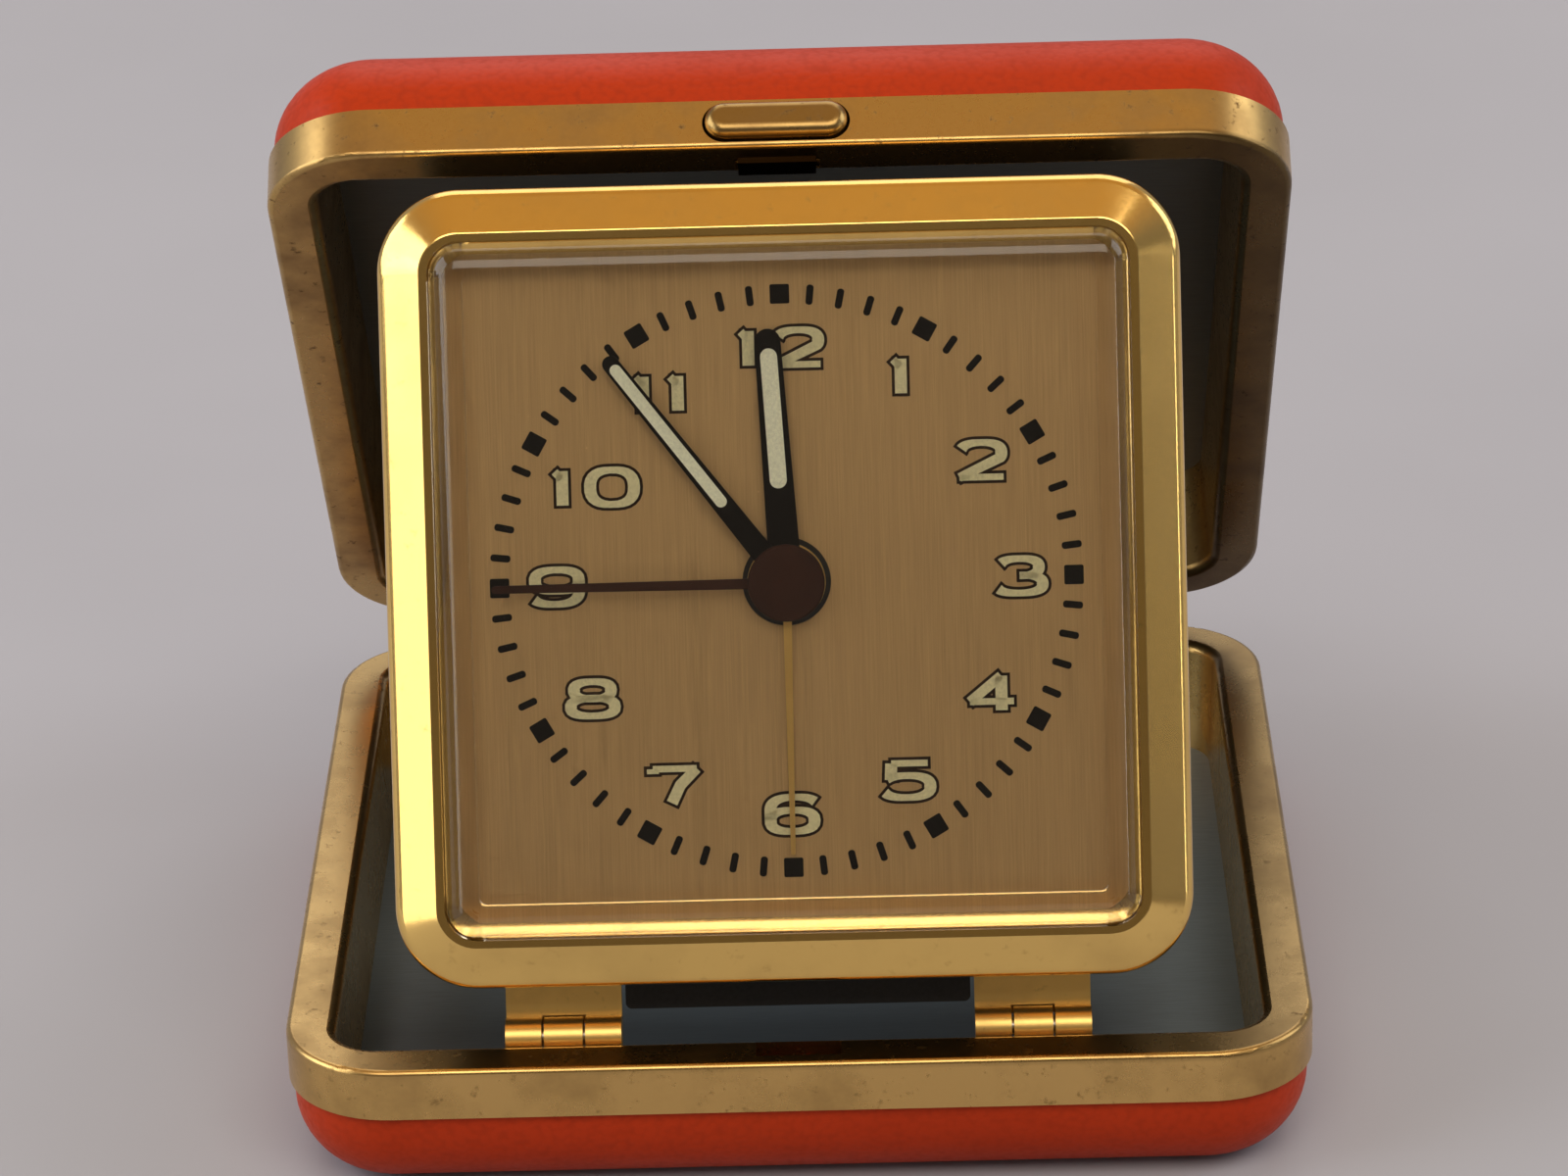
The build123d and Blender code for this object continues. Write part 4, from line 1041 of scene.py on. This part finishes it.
def light_room(scene):
    """Soft boxes all round, in a room that is darker in front and warm overhead."""
    for name, place, width, height, watts, colour in SOFT_BOXES:
        soft_box(name, place, LAMP_AIM, width, height, watts, colour)
    world = bpy.data.worlds.new("room")
    world.use_nodes = True
    room = Nodes(world.node_tree)
    direction = room.node("ShaderNodeTexCoord", out="Generated")
    back = room.node("ShaderNodeSeparateXYZ", {"Vector": direction}, out="Y")
    up = room.node("ShaderNodeSeparateXYZ", {"Vector": direction}, out="Z")
    walls = room.mixed(room.between(back, *FRONT_TO_BACK), ROOM_FRONT, ROOM_BACK)
    sight = room.mixed(room.between(up, *WALL_TO_CEILING), walls, ROOM_CEILING)
    room.feed(room.tree.nodes["Background"].inputs["Color"], sight)
    scene.world = world


# The picture's frame in pixels, the sensor in millimetres and the nearest sight in metres
PHOTO_WIDTH = 1600.0
PHOTO_HEIGHT = 1200.0
SENSOR_WIDTH = 36.0
NEAREST_SIGHT = 0.01


def place_camera(scene):
    """Puts the camera round its target, rolls it and shifts the frame to the target's pixel."""
    view = scene.clock_view
    data = bpy.data.cameras.new("camera")
    data.sensor_width = SENSOR_WIDTH
    data.lens = view.lens
    data.shift_x = (PHOTO_WIDTH / 2 - view.target_column) / PHOTO_WIDTH
    data.shift_y = (view.target_row - PHOTO_HEIGHT / 2) / PHOTO_WIDTH
    data.clip_start = NEAREST_SIGHT
    back = Vector((math.sin(view.azimuth) * math.cos(view.elevation),
                   -math.cos(view.azimuth) * math.cos(view.elevation), math.sin(view.elevation)))
    camera = bpy.data.objects.new("camera", data)
    camera.location = Vector(view.target) + back * view.distance
    camera.rotation_mode = "QUATERNION"
    camera.rotation_quaternion = ((-back).to_track_quat("-Z", "Y")
                                  @ Quaternion((0, 0, 1), -view.roll))
    scene.collection.objects.link(camera)
    scene.camera = camera


# The panel, the registration and the run

PIECE_OPERATORS = (
    TRAVELCLOCK_OT_covers,
    TRAVELCLOCK_OT_case_brass,
    TRAVELCLOCK_OT_linings,
    TRAVELCLOCK_OT_bezel,
    TRAVELCLOCK_OT_strip,
    TRAVELCLOCK_OT_crystal,
    TRAVELCLOCK_OT_dial,
    TRAVELCLOCK_OT_numerals,
    TRAVELCLOCK_OT_hands,
    TRAVELCLOCK_OT_hinge_steel,
    TRAVELCLOCK_OT_housing,
    TRAVELCLOCK_OT_movement,
    TRAVELCLOCK_OT_stage,
)


class TRAVELCLOCK_PT_panel(bpy.types.Panel):
    """Lists the clock's pieces, then its sizes, colours and view"""

    bl_idname = "TRAVELCLOCK_PT_panel"
    bl_label = "Travel Clock"
    bl_space_type = "VIEW_3D"
    bl_region_type = "UI"
    bl_category = "Travel Clock"

    def draw(self, context):
        for operator in PIECE_OPERATORS:
            self.layout.operator(operator.bl_idname)
        for group in (context.scene.clock_print_sizes, context.scene.clock_colours,
                      context.scene.clock_view):
            for name in group.__annotations__:
                self.layout.prop(group, name)


CLASSES = (ClockPrintSizes, ClockColours, ClockView, *PIECE_OPERATORS, TRAVELCLOCK_PT_panel)


def register():
    """Registers the classes and hangs the settings on the scene."""
    for item in CLASSES:
        bpy.utils.register_class(item)
    bpy.types.Scene.clock_print_sizes = bpy.props.PointerProperty(type=ClockPrintSizes)
    bpy.types.Scene.clock_colours = bpy.props.PointerProperty(type=ClockColours)
    bpy.types.Scene.clock_view = bpy.props.PointerProperty(type=ClockView)


def unregister():
    """Takes the settings off the scene and unregisters the classes."""
    del bpy.types.Scene.clock_view
    del bpy.types.Scene.clock_colours
    del bpy.types.Scene.clock_print_sizes
    for item in reversed(CLASSES):
        bpy.utils.unregister_class(item)


def main():
    """Registers the add-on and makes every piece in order."""
    register()
    for operator in PIECE_OPERATORS:
        group, name = operator.bl_idname.split(".")
        getattr(getattr(bpy.ops, group), name)()


if __name__ == "__main__":
    main()
